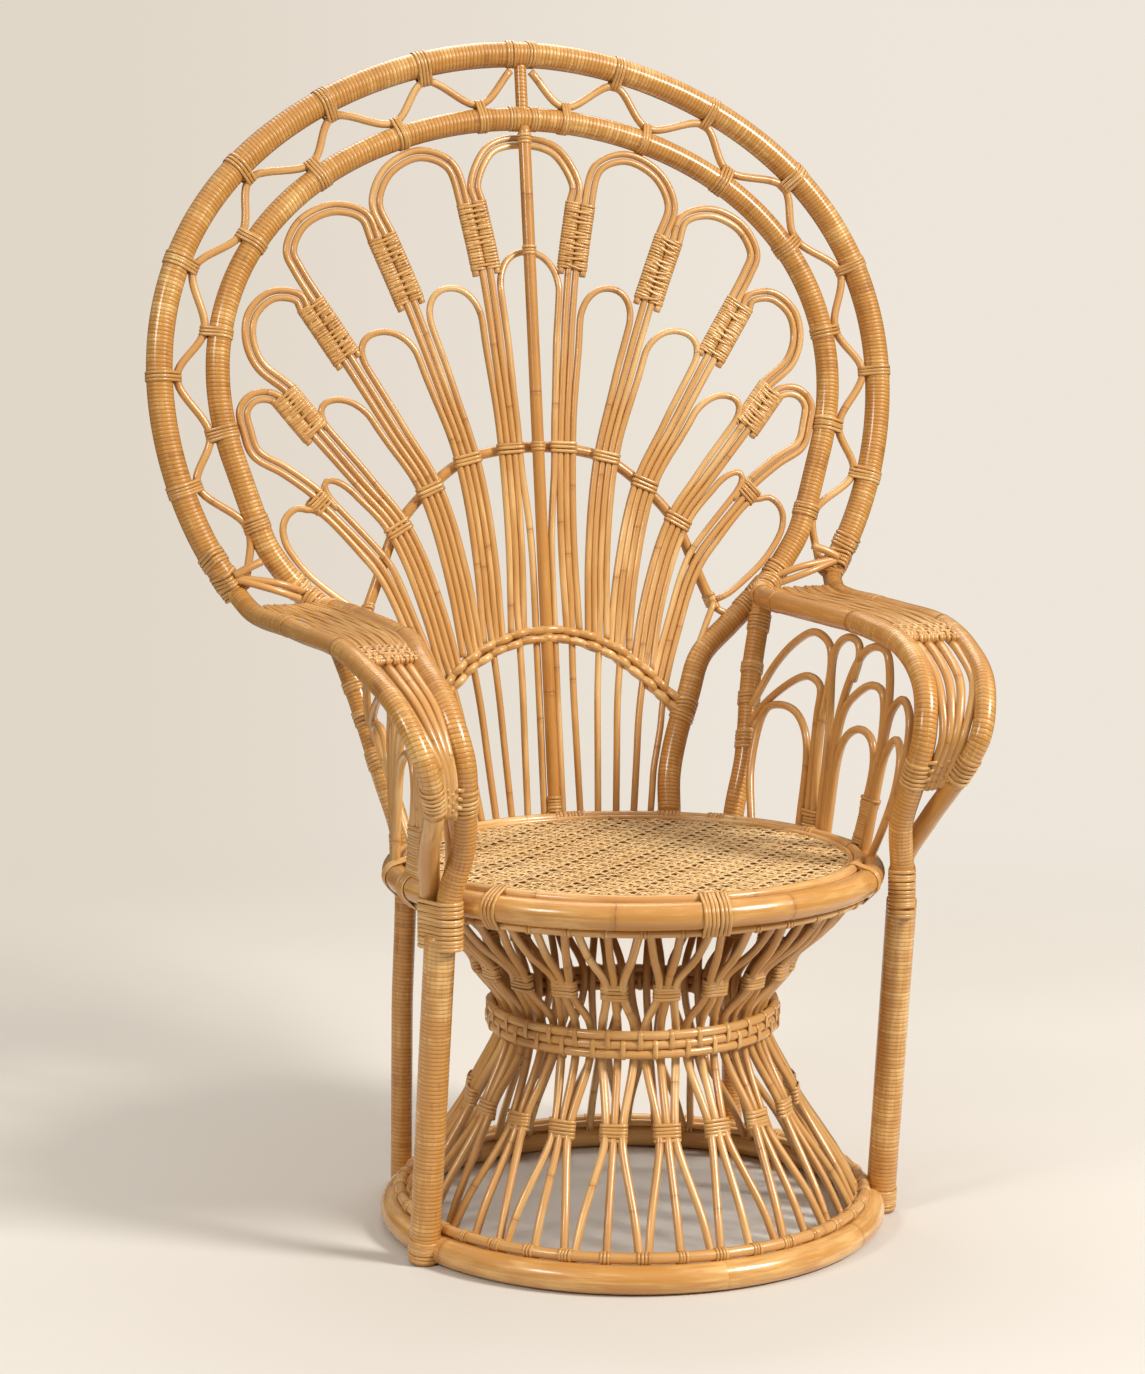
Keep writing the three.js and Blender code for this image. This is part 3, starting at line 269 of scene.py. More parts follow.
def tie(piece, centre, axis, poles, turns, width=3.9, pitch=4.1, thick=1.3, lean=0.0, lift=0.3):
    """Winds splint round poles, given as (point, radius), square to the axis."""
    axis = np.asarray(axis, float) / np.linalg.norm(axis)
    first = np.cross(axis, unlike_any_axis)
    first /= np.linalg.norm(first)
    second = np.cross(axis, first)
    circle = round_section(1, circle_sides)
    rounds = [
        [np.dot(point - centre, first), np.dot(point - centre, second)] + (radius + lift) * circle
        for point, radius in poles
    ]
    outline = hull(np.vstack(rounds))
    loop = np.vstack([outline, outline[:1]])
    length = np.linalg.norm(np.diff(loop, axis=0), axis=1).sum()
    count = int(np.clip(length / loop_step, *loop_counts))
    flat = even(loop, length / count)[:-1]
    ahead = np.roll(flat, -1, axis=0) - np.roll(flat, 1, axis=0)
    facing = ahead[:, :1] * -second + ahead[:, 1:] * first
    place = centre + flat[:, :1] * first + flat[:, 1:] * second
    section = splint_section(width, thick)
    for turn in range(turns):
        slope = lean + rng.normal(0, hand_lean)
        slide = (turn - (turns - 1) / 2) * pitch + rng.normal(0, hand_slip) + slope * flat[:, :1]
        piece.sweep(place + slide * axis, facing, section, "splint", closed=True)


def tangent_of(path, index):
    return path[min(index + 1, len(path) - 1)] - path[max(index - 1, 0)]


print("ties ready")

# %% [markdown]
# ## Shared finishes
# Four effects come back in most materials, so each is a node group with named sockets:
# the winding of splint round a pole, the fibres of the cane, the joints where leaves
# grew, and the uneven tone that light and hands leave. They read only "run" and "tone"
# or the place on the object, and give masks and heights. The shader stays in each
# material, where its roughness and coat can be read off directly.

# %% A helper that adds nodes and joins them


def add(tree, kind, values=None, **settings):
    """Adds a node; a value that is a socket is linked."""
    node = tree.nodes.new(kind)
    for key, value in settings.items():
        setattr(node, key, value)
    for key, value in (values or {}).items():
        if isinstance(value, bpy.types.NodeSocket):
            tree.links.new(value, node.inputs[key])
        else:
            node.inputs[key].default_value = value
    return node


def maths(tree, operation, first, second=0.5):
    return add(tree, "ShaderNodeMath", {0: first, 1: second}, operation=operation).outputs[0]


def ranged(tree, value, low, high, to_low=0.0, to_high=1.0, kind="SMOOTHSTEP"):
    values = {"Value": value, "From Min": low, "From Max": high, "To Min": to_low, "To Max": to_high}
    return add(tree, "ShaderNodeMapRange", values, interpolation_type=kind).outputs["Result"]


def new_group(name, inputs, outputs):
    """An empty shader group: inputs are (name, default), outputs are names."""
    tree = bpy.data.node_groups.new(name, "ShaderNodeTree")
    for label, default in inputs:
        socket = tree.interface.new_socket(name=label, in_out="INPUT", socket_type="NodeSocketFloat")
        socket.default_value = default
    for label in outputs:
        tree.interface.new_socket(name=label, in_out="OUTPUT", socket_type="NodeSocketFloat")
    return tree, tree.nodes.new("NodeGroupInput"), tree.nodes.new("NodeGroupOutput")


def run_of(tree):
    """How far round (0 to 1) and along (metres) a strand, and its random tone."""
    run = add(tree, "ShaderNodeUVMap", uv_map="run")
    split = add(tree, "ShaderNodeSeparateXYZ", {0: run.outputs[0]})
    tone = add(tree, "ShaderNodeAttribute", attribute_name="tone")
    return split.outputs[0], split.outputs[1], tone.outputs["Fac"]


def noise(tree, x, y, z, detail=2.0, roughness=0.5):
    vector = add(tree, "ShaderNodeCombineXYZ", {0: x, 1: y, 2: z}).outputs[0]
    values = {"Vector": vector, "Scale": 1.0, "Detail": detail, "Roughness": roughness}
    return add(tree, "ShaderNodeTexNoise", values).outputs[0]


# %% The winding of splint round a pole
winding, source, sink = new_group("Winding", [("Pitch", 0.004)], ["Tone", "Seam", "Height"])
wobbles_per_metre, wobble_size, strand_seed = 40.0, 0.5, 91.0
# The first of these sets how far across each turn the painted shade of its grooves begins.
groove_shade_starts, splint_flatness, splint_unevenness = 0.66, 2.6, 0.5
around, along, strand = run_of(winding)
turns = maths(winding, "ADD", maths(winding, "DIVIDE", along, source.outputs["Pitch"]), around)
wobble = noise(winding, maths(winding, "MULTIPLY", along, wobbles_per_metre), around, strand)
turns = maths(winding, "ADD", turns, maths(winding, "MULTIPLY", wobble, wobble_size))
share = maths(winding, "FRACT", turns)
from_middle = maths(winding, "ABSOLUTE", maths(winding, "SUBTRACT", share, 0.5))
edge = maths(winding, "MULTIPLY", from_middle, 2.0)
seed = maths(winding, "MULTIPLY", strand, strand_seed)
number = maths(winding, "ADD", maths(winding, "FLOOR", turns), seed)
tint = add(winding, "ShaderNodeTexWhiteNoise", {"W": number}, noise_dimensions="1D").outputs["Value"]
rounded = maths(winding, "SUBTRACT", 1.0, maths(winding, "POWER", edge, splint_flatness))
level = maths(winding, "ADD", rounded, maths(winding, "MULTIPLY", tint, splint_unevenness))
# Painted shade: each turn darkens towards its edges, where the grooves between turns lie in shade.
groove_shade = ranged(winding, edge, groove_shade_starts, 1.0)
for label, value in (("Tone", tint), ("Seam", groove_shade), ("Height", level)):
    winding.links.new(value, sink.inputs[label])
print("winding group:", len(winding.nodes), "nodes")

# %% The fibres of the cane
fibres, source, sink = new_group("Fibres", [("Fineness", 30.0), ("Length", 0.06)], ["Tone", "Streak"])
around, along, strand = run_of(fibres)
across = maths(fibres, "MULTIPLY", around, source.outputs["Fineness"])
down = maths(fibres, "DIVIDE", along, source.outputs["Length"])
seed = maths(fibres, "MULTIPLY", strand, 37.0)
streak = noise(fibres, across, down, seed, detail=4.0, roughness=0.65)
wide, long = maths(fibres, "MULTIPLY", around, 2.0), maths(fibres, "MULTIPLY", along, 9.0)
patch = noise(fibres, wide, long, seed)
fibres.links.new(ranged(fibres, patch, 0.3, 0.7), sink.inputs["Tone"])
fibres.links.new(ranged(fibres, streak, 0.3, 0.7), sink.inputs["Streak"])
print("fibre group:", len(fibres.nodes), "nodes")

# %% The joints where leaves grew
settings = [("Spacing", 0.2), ("Width", 0.0015)]
joints, source, sink = new_group("Leaf joints", settings, ["Mark", "Swell"])
strand_shift, wave_across, wave_size, swell_width = 7.3, 5.0, 0.02, 5.0
around, along, strand = run_of(joints)
place = maths(joints, "DIVIDE", along, source.outputs["Spacing"])
place = maths(joints, "ADD", place, maths(joints, "MULTIPLY", strand, strand_shift))
joint_number = maths(joints, "FLOOR", place)
chance = add(joints, "ShaderNodeTexWhiteNoise", {"W": joint_number}, noise_dimensions="1D")
middle = ranged(joints, chance.outputs["Value"], 0.0, 1.0, 0.2, 0.8, "LINEAR")
wave = noise(joints, maths(joints, "MULTIPLY", around, wave_across), strand, 0.0)
middle = maths(joints, "ADD", middle, maths(joints, "MULTIPLY", wave, wave_size))
gap = maths(joints, "ABSOLUTE", maths(joints, "SUBTRACT", maths(joints, "FRACT", place), middle))
gap = maths(joints, "MULTIPLY", gap, source.outputs["Spacing"])
gap = maths(joints, "DIVIDE", gap, source.outputs["Width"])
for label, near, far in (("Mark", 0.3, 1.0), ("Swell", 0.0, swell_width)):
    mask = maths(joints, "SUBTRACT", 1.0, ranged(joints, gap, near, far))
    joints.links.new(mask, sink.inputs[label])
print("joint group:", len(joints.nodes), "nodes")

# %% The uneven tone left by light and hands
aging, source, sink = new_group("Aging", [("Size", 0.12)], ["Tone"])
where = add(aging, "ShaderNodeTexCoord").outputs["Object"]
scale = maths(aging, "DIVIDE", 1.0, source.outputs["Size"])
cloud = add(aging, "ShaderNodeTexNoise", {"Vector": where, "Scale": scale, "Detail": 3.0})
aging.links.new(ranged(aging, cloud.outputs[0], 0.3, 0.7), sink.inputs["Tone"])
print("aging group:", len(aging.nodes), "nodes")

# %% [markdown]
# ## The finishes
# Rattan with its skin on is pale straw with a satin gloss, and turns honey brown where it
# is older or was bent over a flame. Splint is the same skin, split off and wound on. So
# all finishes share one recipe: a dark, a middle and a light colour mixed by the masks of
# the groups, small bumps from the same masks, and a thin coat of varnish. What differs
# is how strong each mask is.

# %% The recipe and its table
finish_table = {
    # name: dark, middle and light colour, winding pitch, joint spacing, roughness
    "honey_pole": ((0.31, 0.10, 0.016), (0.57, 0.275, 0.07), (0.78, 0.47, 0.17), 0, 0.27, 0.28),
    "pale_cane": ((0.33, 0.12, 0.022), (0.61, 0.32, 0.10), (0.82, 0.54, 0.235), 0, 0.31, 0.32),
    "wound_pole": ((0.24, 0.072, 0.009), (0.59, 0.285, 0.066), (0.80, 0.50, 0.18), 0.0049, 0, 0.34),
    "splint": ((0.30, 0.105, 0.018), (0.61, 0.32, 0.093), (0.81, 0.53, 0.22), 0, 0, 0.36),
    "woven_seat": ((0.40, 0.16, 0.035), (0.84, 0.57, 0.26), (0.94, 0.75, 0.44), 0, 0, 0.42),
    # Painted shade: the dark layer under the seat weave stands for the shade inside the chair, not a
    # real part.
    "painted_shade_layer": ((0.15, 0.055, 0.012), (0.26, 0.11, 0.03), (0.36, 0.17, 0.05), 0, 0, 0.6),
}
tone_weights = {"patch": 0.3, "streak": 0.22, "age": 0.24, "turn": 0.24, "strand": 0.34}
# The second of these sets how dark the painted shade in the winding's grooves gets.
streak_height, groove_shade_depth, joint_depth, scorch_depth = 0.12, 0.56, 0.55, 0.25
joint_width, joint_swell, joint_groove = 0.0016, 0.5, 0.6
relief, relief_strength = 0.0008, 0.7
varnish = {"Coat Weight": 0.7, "Coat Roughness": 0.19, "Specular IOR Level": 0.4}
finishes = {}


def placed_group(tree, group, **values):
    node = tree.nodes.new("ShaderNodeGroup")
    node.node_tree = group
    for label, value in values.items():
        node.inputs[label].default_value = value
    return node


def mixed(tree, share, first, second):
    node = add(tree, "ShaderNodeMix", {"Factor": share}, data_type="RGBA")
    for socket, value in ((node.inputs[6], first), (node.inputs[7], second)):
        if isinstance(value, bpy.types.NodeSocket):
            tree.links.new(value, socket)
        else:
            socket.default_value = (*value, 1)
    return node.outputs[2]


def finish_of(name):
    """The material of that name, built when it is first asked for."""
    if name in finishes:
        return finishes[name]
    dark, middle, light, pitch, spacing, roughness = finish_table[name]
    material = bpy.data.materials.new(name)
    material.use_nodes = True
    tree = material.node_tree
    shader = tree.nodes["Principled BSDF"]
    fibre = placed_group(tree, fibres, Fineness=26.0, Length=0.05)
    age = placed_group(tree, aging, Size=0.16)
    tones = {"patch": fibre.outputs["Tone"], "streak": fibre.outputs["Streak"]}
    tones["age"] = age.outputs["Tone"]
    height = maths(tree, "MULTIPLY", fibre.outputs["Streak"], streak_height)
    if pitch:
        wound = placed_group(tree, winding, Pitch=pitch)
        tones["turn"] = wound.outputs["Tone"]
        height = maths(tree, "ADD", wound.outputs["Height"], height)
    else:
        tones["strand"] = add(tree, "ShaderNodeAttribute", attribute_name="tone").outputs["Fac"]
    total = 0.0
    for label, value in tones.items():
        total = maths(tree, "ADD", total, maths(tree, "MULTIPLY", value, tone_weights[label]))
    total = maths(tree, "DIVIDE", total, sum(tone_weights[label] for label in tones))
    colour = mixed(tree, ranged(tree, total, -0.1, 0.42), dark, middle)
    colour = mixed(tree, ranged(tree, total, 0.5, 0.85), colour, light)
    if pitch:
        # Painted shade in the grooves between the turns of the winding.
        colour = mixed(tree, maths(tree, "MULTIPLY", wound.outputs["Seam"], groove_shade_depth), colour, dark)
    if spacing:
        joint = placed_group(tree, joints, Spacing=spacing, Width=joint_width)
        mark, swell = joint.outputs["Mark"], joint.outputs["Swell"]
        shade = maths(tree, "MULTIPLY", mark, joint_depth)
        scorch = maths(tree, "MULTIPLY", swell, scorch_depth)
        colour = mixed(tree, maths(tree, "MAXIMUM", shade, scorch), colour, dark)
        height = maths(tree, "ADD", height, maths(tree, "MULTIPLY", swell, joint_swell))
        height = maths(tree, "SUBTRACT", height, maths(tree, "MULTIPLY", mark, joint_groove))
    rough = ranged(tree, total, 0.0, 1.0, roughness + 0.1, roughness - 0.08)
    values = {"Height": height, "Strength": relief_strength, "Distance": relief}
    bump = add(tree, "ShaderNodeBump", values)
    tree.links.new(colour, shader.inputs["Base Color"])
    tree.links.new(rough, shader.inputs["Roughness"])
    tree.links.new(bump.outputs[0], shader.inputs["Normal"])
    for label, value in varnish.items():
        shader.inputs[label].default_value = value
    finishes[name] = material
    return material


print("finishes:", ", ".join(finish_table))

# %% [markdown]
# ## Base rings
# The chair stands on one thick pole bent into a ring, and a thin cane lies on its inner
# shoulder to take the feet of the hourglass. A torus would do for a first look, but the
# swept tube carries its grain along the ring, and a slow change of radius keeps it from
# looking turned on a lathe.

# %% Base ring and its tie rings
base_radius, base_pole = 290.7, 16.6
tie_ring_radius, tie_ring_pole, tie_ring_height = 282.7, 6.5, 38.6


def uneven(count, amount=0.02, waves=5, closed=True):
    """A slow change of radius along a pole, as grown cane has."""
    t = np.linspace(0, 2 * math.pi, count, endpoint=not closed)
    swell = np.ones(count)
    for wave in range(1, waves + 1):
        swell += amount / waves * np.sin(wave * t + rng.uniform(0, 6.3))
    return swell


def ring_pole(piece, radius, height, pole, finish, sides=20):
    path = ring(radius, height)
    piece.sweep(path, outward_of(path), round_section(pole, sides), finish, True, uneven(len(path)))


base = Piece("base_ring_pole")
ring_pole(base, base_radius, base_pole, base_pole, "honey_pole", 28)
base.make(["base_ring"], "honey_cane")
shelf = Piece("base_tie_rings")
ring_pole(shelf, tie_ring_radius, tie_ring_height, tie_ring_pole, "pale_cane", 14)
ring_pole(shelf, tie_ring_radius - 9, tie_ring_height - 2.6, 4.4, "pale_cane", 12)

# %% [markdown]
# ## The hourglass
# Twenty clusters of three canes stand between the rings. A tie squeezes each cluster
# below and above the waist, and between the ties the canes spread to meet their
# neighbours. Each cane is one path through the places where it is held, and its feet are
# bound to the thin ring with a knot of their own.

# %% One bent cane of a cluster
cluster_count, thin_cane = 20, 5.0
cluster_step = 360 / cluster_count
lower_tie, upper_tie = (197.7, 159.0), (192.0, 324.0)
waist_radius, waist_height, waist_row, waist_rows = 172.0, 256.0, 5.5, 3
foot_place, head_place = (272.4, 32.6), (271.6, 416.6)
waist_cane = waist_radius - waist_row - thin_cane - 1.0


def hourglass_cane(azimuth, side):
    """The path of one cane; side is -1, 0 or 1 across the cluster."""
    gap = thin_cane + 0.15

    def squeezed(place):
        return polar(place[0], azimuth + math.degrees(side * 2 * gap / place[0]), place[1])

    def spread(place):
        apart = cluster_step / 2 - math.degrees(gap / place[0])
        return polar(place[0], azimuth + side * apart, place[1])

    waist = azimuth + side * 0.37 * cluster_step
    slant = 0.5 * (cluster_step / 2)
    held = [
        spread(foot_place),
        polar(252, azimuth + side * slant * 1.52, 73),
        squeezed((lower_tie[0] + 5.5, lower_tie[1] - 11)),
        squeezed((lower_tie[0] - 4.5, lower_tie[1] + 11)),
        polar(waist_cane, waist, waist_height - 19),
        polar(waist_cane, waist, waist_height + 19),
        squeezed((upper_tie[0] - 4.0, upper_tie[1] - 11)),
        squeezed((upper_tie[0] + 6.5, upper_tie[1] + 11)),
        polar(240, azimuth + side * slant * 1.35, 374),
        spread(head_place),
    ]
    path = smooth(held)
    return path + rng.normal(0, 0.5, 3)


# %% Clusters with their ties
def cluster(piece, azimuth):
    for side in (-1, 0, 1):
        path = hourglass_cane(azimuth, side)
        section = round_section(thin_cane * rng.uniform(0.94, 1.04), 10)
        piece.sweep(path, outward_of(path), section, "pale_cane")
    for (radius, height), rise in ((lower_tie, (-45, 100)), (upper_tie, (45, 80))):
        centre = polar(radius, azimuth, height)
        slope = polar(radius + rise[0] * 0.2, azimuth, height + rise[1] * 0.5) - centre
        gap = math.degrees(2 * (thin_cane + 0.15) / radius)
        poles = [(polar(radius, azimuth + side * gap, height), thin_cane) for side in (-1, 0, 1)]
        tie(piece, centre, slope, poles, 5, width=4.3, pitch=4.3, lean=rng.normal(0, 0.02))


for pair in range(1, cluster_count // 2 + 1):
    piece = Piece(f"hourglass_canes_{pair}")
    for half in (-0.5, 0.5):
        cluster(piece, (2 * pair - 1 + half) * cluster_step)
    piece.make([f"cluster_pair_{pair}"], "pale_cane")
print("clusters:", cluster_count, "faces in the last pair:", made[f"hourglass_canes_{pair}"])

# %% Knots that bind the canes' feet and heads
under_ring_radius, under_ring_height, under_ring_pole = 281.0, 410.8, 5.0


def ring_knots(piece, radius, height, pole, place, turns):
    """A few turns over the thin ring at every cane and every V."""
    for index in range(2 * cluster_count):
        azimuth = (index + 0.5) * cluster_step / 2 + cluster_step / 4
        wide = 1 if index % 2 else 0
        centre = polar(radius, azimuth, height)
        along_ring = polar(1, azimuth + 90, 0)
        poles = [(centre, pole), (polar(place[0] + 3, azimuth, place[1]), thin_cane)]
        lean = rng.normal(0, 0.06)
        tie(piece, centre, along_ring, poles, turns + wide, width=3.6, pitch=3.9, lean=lean)


ring_knots(shelf, tie_ring_radius, tie_ring_height, tie_ring_pole, foot_place, 3)
shelf.make(["base_tie_ring"], "pale_cane")
under = Piece("seat_under_ring_cane")
ring_pole(under, under_ring_radius, under_ring_height, under_ring_pole, "pale_cane", 12)
ring_knots(under, under_ring_radius, under_ring_height, under_ring_pole, head_place, 2)
under.make(["seat_under_ring"], "pale_cane")

# %% [markdown]
# ## The waist band
# Three canes run round the waist and are laced together with splints that go over two of
# them at a time, first the upper two and then the lower two. The lacing is built with the
# same tie as every joint, so it hugs the canes it holds.

# %% Waist rows and their lacing
waist = Piece("waist_rows")
row_heights = [waist_height + (row - 1) * 2 * waist_row for row in range(waist_rows)]
for height in row_heights:
    ring_pole(waist, waist_radius, height, waist_row, "pale_cane", 12)
lacing_count = 60
for index in range(lacing_count):
    azimuth = (index + rng.uniform(-0.08, 0.08)) * 360 / lacing_count
    pair = row_heights[1:] if index % 2 else row_heights[:2]
    poles = [(polar(waist_radius, azimuth, height), waist_row) for height in pair]
    centre = polar(waist_radius, azimuth, sum(pair) / 2)
    lean = rng.normal(0, 0.05)
    tie(waist, centre, polar(1, azimuth + 90, 0), poles, 1, width=6.2, thick=1.1, lean=lean)
waist.make(["waist_band"], "splint")

# %% [markdown]
# ## The round seat
# A thick pole makes the rim, a thin ring on top of it holds the woven panel, and two
# braces lie under the panel. The cane weave is real geometry: two pairs of strands at
# right angles pass over and under each other, and diagonals go through them. A layer of
# wide dark splints lies under it. The chair has no such layer: it is painted shade that
# stands for the shade inside the chair, seen through the holes. A texture of holes would
# be lighter, but it would look flat where the seat is seen at a low angle.

# %% Rim, top ring and braces
rim_radius, rim_height, rim_pole = 286.0, 431.0, 15.5
top_radius, top_height, top_pole = 270.6, 446.4, 6.0
rim = Piece("seat_rim_pole")
ring_pole(rim, rim_radius, rim_height, rim_pole, "honey_pole", 28)
rim.make(["seat_rim"], "honey_cane")
top = Piece("seat_top_ring_cane")
ring_pole(top, top_radius, top_height, top_pole, "pale_cane", 14)
ring_pole(top, top_radius - 9.6, top_height - 1.5, 3.8, "pale_cane", 12)
rim_bindings = ((-2, 7), (-54, 4), (-85, 5), (-98, 5), (52, 3), (82, 4), (104, 4), (135, 5), (-135, 5),
                (149.5, 6), (-149.5, 6), (176, 8))
for azimuth, count in rim_bindings:
    poles = [
        (polar(rim_radius, azimuth, rim_height), rim_pole + 0.4),
        (polar(top_radius, azimuth, top_height), top_pole),
        (polar(under_ring_radius, azimuth, under_ring_height), under_ring_pole),
    ]
    lean = rng.normal(0, 0.12)
    ahead = polar(1, azimuth + 90, 0)
    tie(top, poles[0][0], ahead, poles, count, width=4.6, pitch=4.9, thick=1.5, lean=lean)
top.make(["seat_top_ring"], "pale_cane")
brace_ends_radius, brace_forward, brace_height, brace_radius = 268.0, 90.0, 432.0, 7.6
reach = math.sqrt(brace_ends_radius**2 - brace_forward**2)
for name, side in (("front", -1), ("back", 1)):
    brace = Piece(f"seat_brace_{name}_pole")
    path = even(np.array([[end * reach, side * brace_forward, brace_height] for end in (-1, 1)]), 8)
    brace.sweep(path, [0, 0, 1], round_section(brace_radius, 14), "honey_pole")
    brace.make([f"seat_brace_{name}"], "honey_cane")

# %% The open cane weave
panel_radius, panel_height = 262.0, 443.4
weave_pitch, pair_gap, strand_width, strand_thick = 14.0, 1.3, 2.0, 0.8
wave_height, diagonal_rise = 0.9, 0.5
# Pitch, width and drop of the dark layer under the weave, which is painted shade.
shade_layer_pitch, shade_layer_width, shade_layer_rise = 10.0, 10.4, -2.6


def woven_strand(piece, direction, offset, phase, rise, width, finish="woven_seat"):
    """One strand across the round panel, waving over and under."""
    ahead = np.array([math.cos(direction), math.sin(direction), 0])
    side = np.array([-ahead[1], ahead[0], 0])
    half = math.sqrt(max(panel_radius**2 - offset**2, 1))
    count = max(6, int(2 * half / (weave_pitch / 4)))
    t = np.linspace(-half, half, count)
    height = panel_height + rise + wave_height * np.sin(math.pi * t / weave_pitch + phase)
    drift = rng.normal(0, 0.25) + 0.35 * np.sin(t / 47 + phase * 3)
    path = t[:, None] * ahead + (offset + drift)[:, None] * side + height[:, None] * [0, 0, 1]
    piece.sweep(path, [0, 0, 1], splint_section(width, strand_thick), finish)


weave = Piece("seat_weave")
lines = np.arange(-18, 19) * weave_pitch
for number, offset in enumerate(lines):
    for direction in (0.0, math.pi / 2):
        phase = math.pi * (number % 2) + direction
        for gap in (-pair_gap, pair_gap):
            woven_strand(weave, direction, offset + gap, phase, 0, strand_width)
slant_pitch = weave_pitch / math.sqrt(2)
slant_lines = np.arange(-30.5, 31) * slant_pitch
slant_lines = slant_lines[np.abs(slant_lines) < panel_radius - 4]
for number, offset in enumerate(slant_lines):
    for direction in (math.pi / 4, 3 * math.pi / 4):
        woven_strand(weave, direction, offset, math.pi * (number % 2), diagonal_rise, strand_width)
# A dark layer of splints under the weave that the chair doesn't have: painted shade seen through the
# holes.
for offset in np.arange(-25, 26) * shade_layer_pitch:
    woven_strand(weave, 0.0, offset, 0, shade_layer_rise, shade_layer_width, "painted_shade_layer")
weave.make(["seat_panel"], "pale_cane")
print("seat weave faces:", made["seat_weave"])

# %% [markdown]
# ## The back's own surface
# The back leans by 7.7 degrees and bends forward at its foot to sit on the round rim.
# Everything on it is drawn flat, across and up, and `on_back` lays the drawing on that
# surface. Drawing in the plane keeps the petals even, as on the maker's bending board.

# %% From the flat drawing to the leaning back
recline = math.radians(7.7)
back_radius, seat_level, bend_height = 290.0, 446.5, 300
inner_radius, fan_height = 396.3, 902.912
to_back = np.array([0, math.cos(recline), -math.sin(recline)])


def on_back(drawing):
    """Places (across, up, behind) laid on the leaning back."""
    across, up, behind = np.asarray(drawing, float).T
    foot = np.maximum(0, 1 - up / bend_height)
    within = np.minimum(np.abs(across), back_radius)
    bend = (back_radius - np.sqrt(back_radius**2 - within**2)) * foot**2
    depth = back_radius - bend + up * math.sin(recline) + behind * math.cos(recline)
    height = seat_level + up * math.cos(recline) - behind * math.sin(recline)
    return np.stack([across, depth, height], -1)


def drawn(shares, behind=0.0):
    """Shares of the inner hoop's radius and the fan's height, in millimetres."""
    shares = np.atleast_2d(np.asarray(shares, float))
    across, up = shares.T * [[inner_radius], [fan_height]]
    return np.column_stack([across, up, np.full(len(shares), behind)])


def flipped(drawing):
    return drawing * [-1, 1, 1]


def back_cane(piece, drawing, radius, finish="pale_cane", sides=10, step=7.0):
    path = on_back(smooth(drawing, step))
    size = radius * rng.uniform(0.96, 1.04)
    scale = uneven(len(path), 0.03, 4, False)
    piece.sweep(path, to_back, round_section(size, sides), finish, scale=scale)
    return path


def back_tie(piece, drawing, ahead, poles, turns, **style):
    """A tie on the back: poles are drawn places with radii, ahead is a drawn direction."""
    centre = on_back([drawing])[0]
    tip = on_back([np.asarray(drawing) + np.asarray(ahead) * 2])[0]
    placed = [(on_back([place])[0], radius) for place, radius in poles]
    tie(piece, centre, tip - centre, placed, turns, **style)


print("back leans", round(math.degrees(recline), 1), "degrees")

# %% [markdown]
# ## The two hoops
# Both hoops are thick poles wound from end to end with splint. Their outline isn't a
# circle: a sum of a few cosines of the angle from the top gives the slightly flattened
# shape. The winding itself is relief and colour from the shared group, since nine
# hundred turns as geometry wouldn't show more than the light already draws.

# %% Hoop outlines
hoop_centre = 522.9
outer_radius, outer_pole, outer_end = 451.9, 16.5, 118
inner_pole, inner_turn, foot_behind = 15.0, 100, 4
outer_form = (1, 0.1137, -0.1013, 0.0221, -0.0208, 0.0122)
inner_form = (1, 0.0235, -0.0396, -0.0338, 0.0038, 0.005)
hoop_leg = [
    (0.95, 0.433), (0.918, 0.396), (0.868, 0.362), (0.808, 0.33), (0.735, 0.299), (0.64, 0.264),
    (0.532, 0.221), (0.477, 0.166), (0.424, 0.111), (0.386, 0.055), (0.371, 0),
]


def beside_hoop(radius, form, azimuth, offset=0.0):
    """A drawn place beside a hoop; the offset points outwards."""

    def at(angle):
        reach = sum(radius * share * np.cos(order * angle) for order, share in enumerate(form))
        return np.stack([reach * np.sin(angle), hoop_centre + reach * np.cos(angle)], -1)

    angle = np.radians(np.atleast_1d(np.asarray(azimuth, float)))
    ahead = at(angle + 0.017) - at(angle - 0.017)
    ahead /= np.linalg.norm(ahead, axis=1)[:, None]
    place = at(angle) + offset * np.stack([-ahead[:, 1], ahead[:, 0]], -1)
    return np.column_stack([place, np.zeros(len(place))])


def both_sides(right):
    """A whole line from its right half, which starts in the middle."""
    return np.vstack([flipped(right[1:])[::-1], right])


def wound(piece, path, facing, radius, sides=24):
    piece.sweep(path, facing, round_section(radius, sides), "wound_pole")


outer_line = both_sides(beside_hoop(outer_radius, outer_form, np.linspace(0, outer_end, 30)))
outer = Piece("outer_hoop_wound")
wound(outer, on_back(smooth(outer_line)), to_back, outer_pole)
outer.make(["outer_hoop"], "splint")
foot_shares = [max(0, 1 - up * fan_height / bend_height) for _, up in hoop_leg]
leg_line = drawn(hoop_leg) + np.array([[0, 0, foot_behind * share] for share in foot_shares])
inner_arc = beside_hoop(inner_radius, inner_form, np.linspace(0, inner_turn, 26))
inner_right = np.vstack([inner_arc, leg_line])
inner_line = both_sides(inner_right)
inner = Piece("inner_hoop_wound")
wound(inner, on_back(smooth(inner_line)), to_back, inner_pole)
inner.make(["inner_hoop"], "splint")
print("hoops:", made["outer_hoop_wound"], "and", made["inner_hoop_wound"], "faces")

# %% [markdown]
# ## The wave between the hoops
# One cane on each side swings between the hoops and is tied to each in turn with three or
# four turns of splint. The ties go round the hoop and the cane together, so they are what
# gives the rim of the back its rhythm of small knots.

# %% The waving cane and its ties
wave_count, wave_pole, wave_start = 14, 5.0, 14.05
wave_step = outer_end / wave_count


def wave_place(index):
    if index % 2:
        return beside_hoop(inner_radius, inner_form, index * wave_step, inner_pole + wave_pole)[0]
    return beside_hoop(outer_radius, outer_form, index * wave_step, -outer_pole - wave_pole)[0]


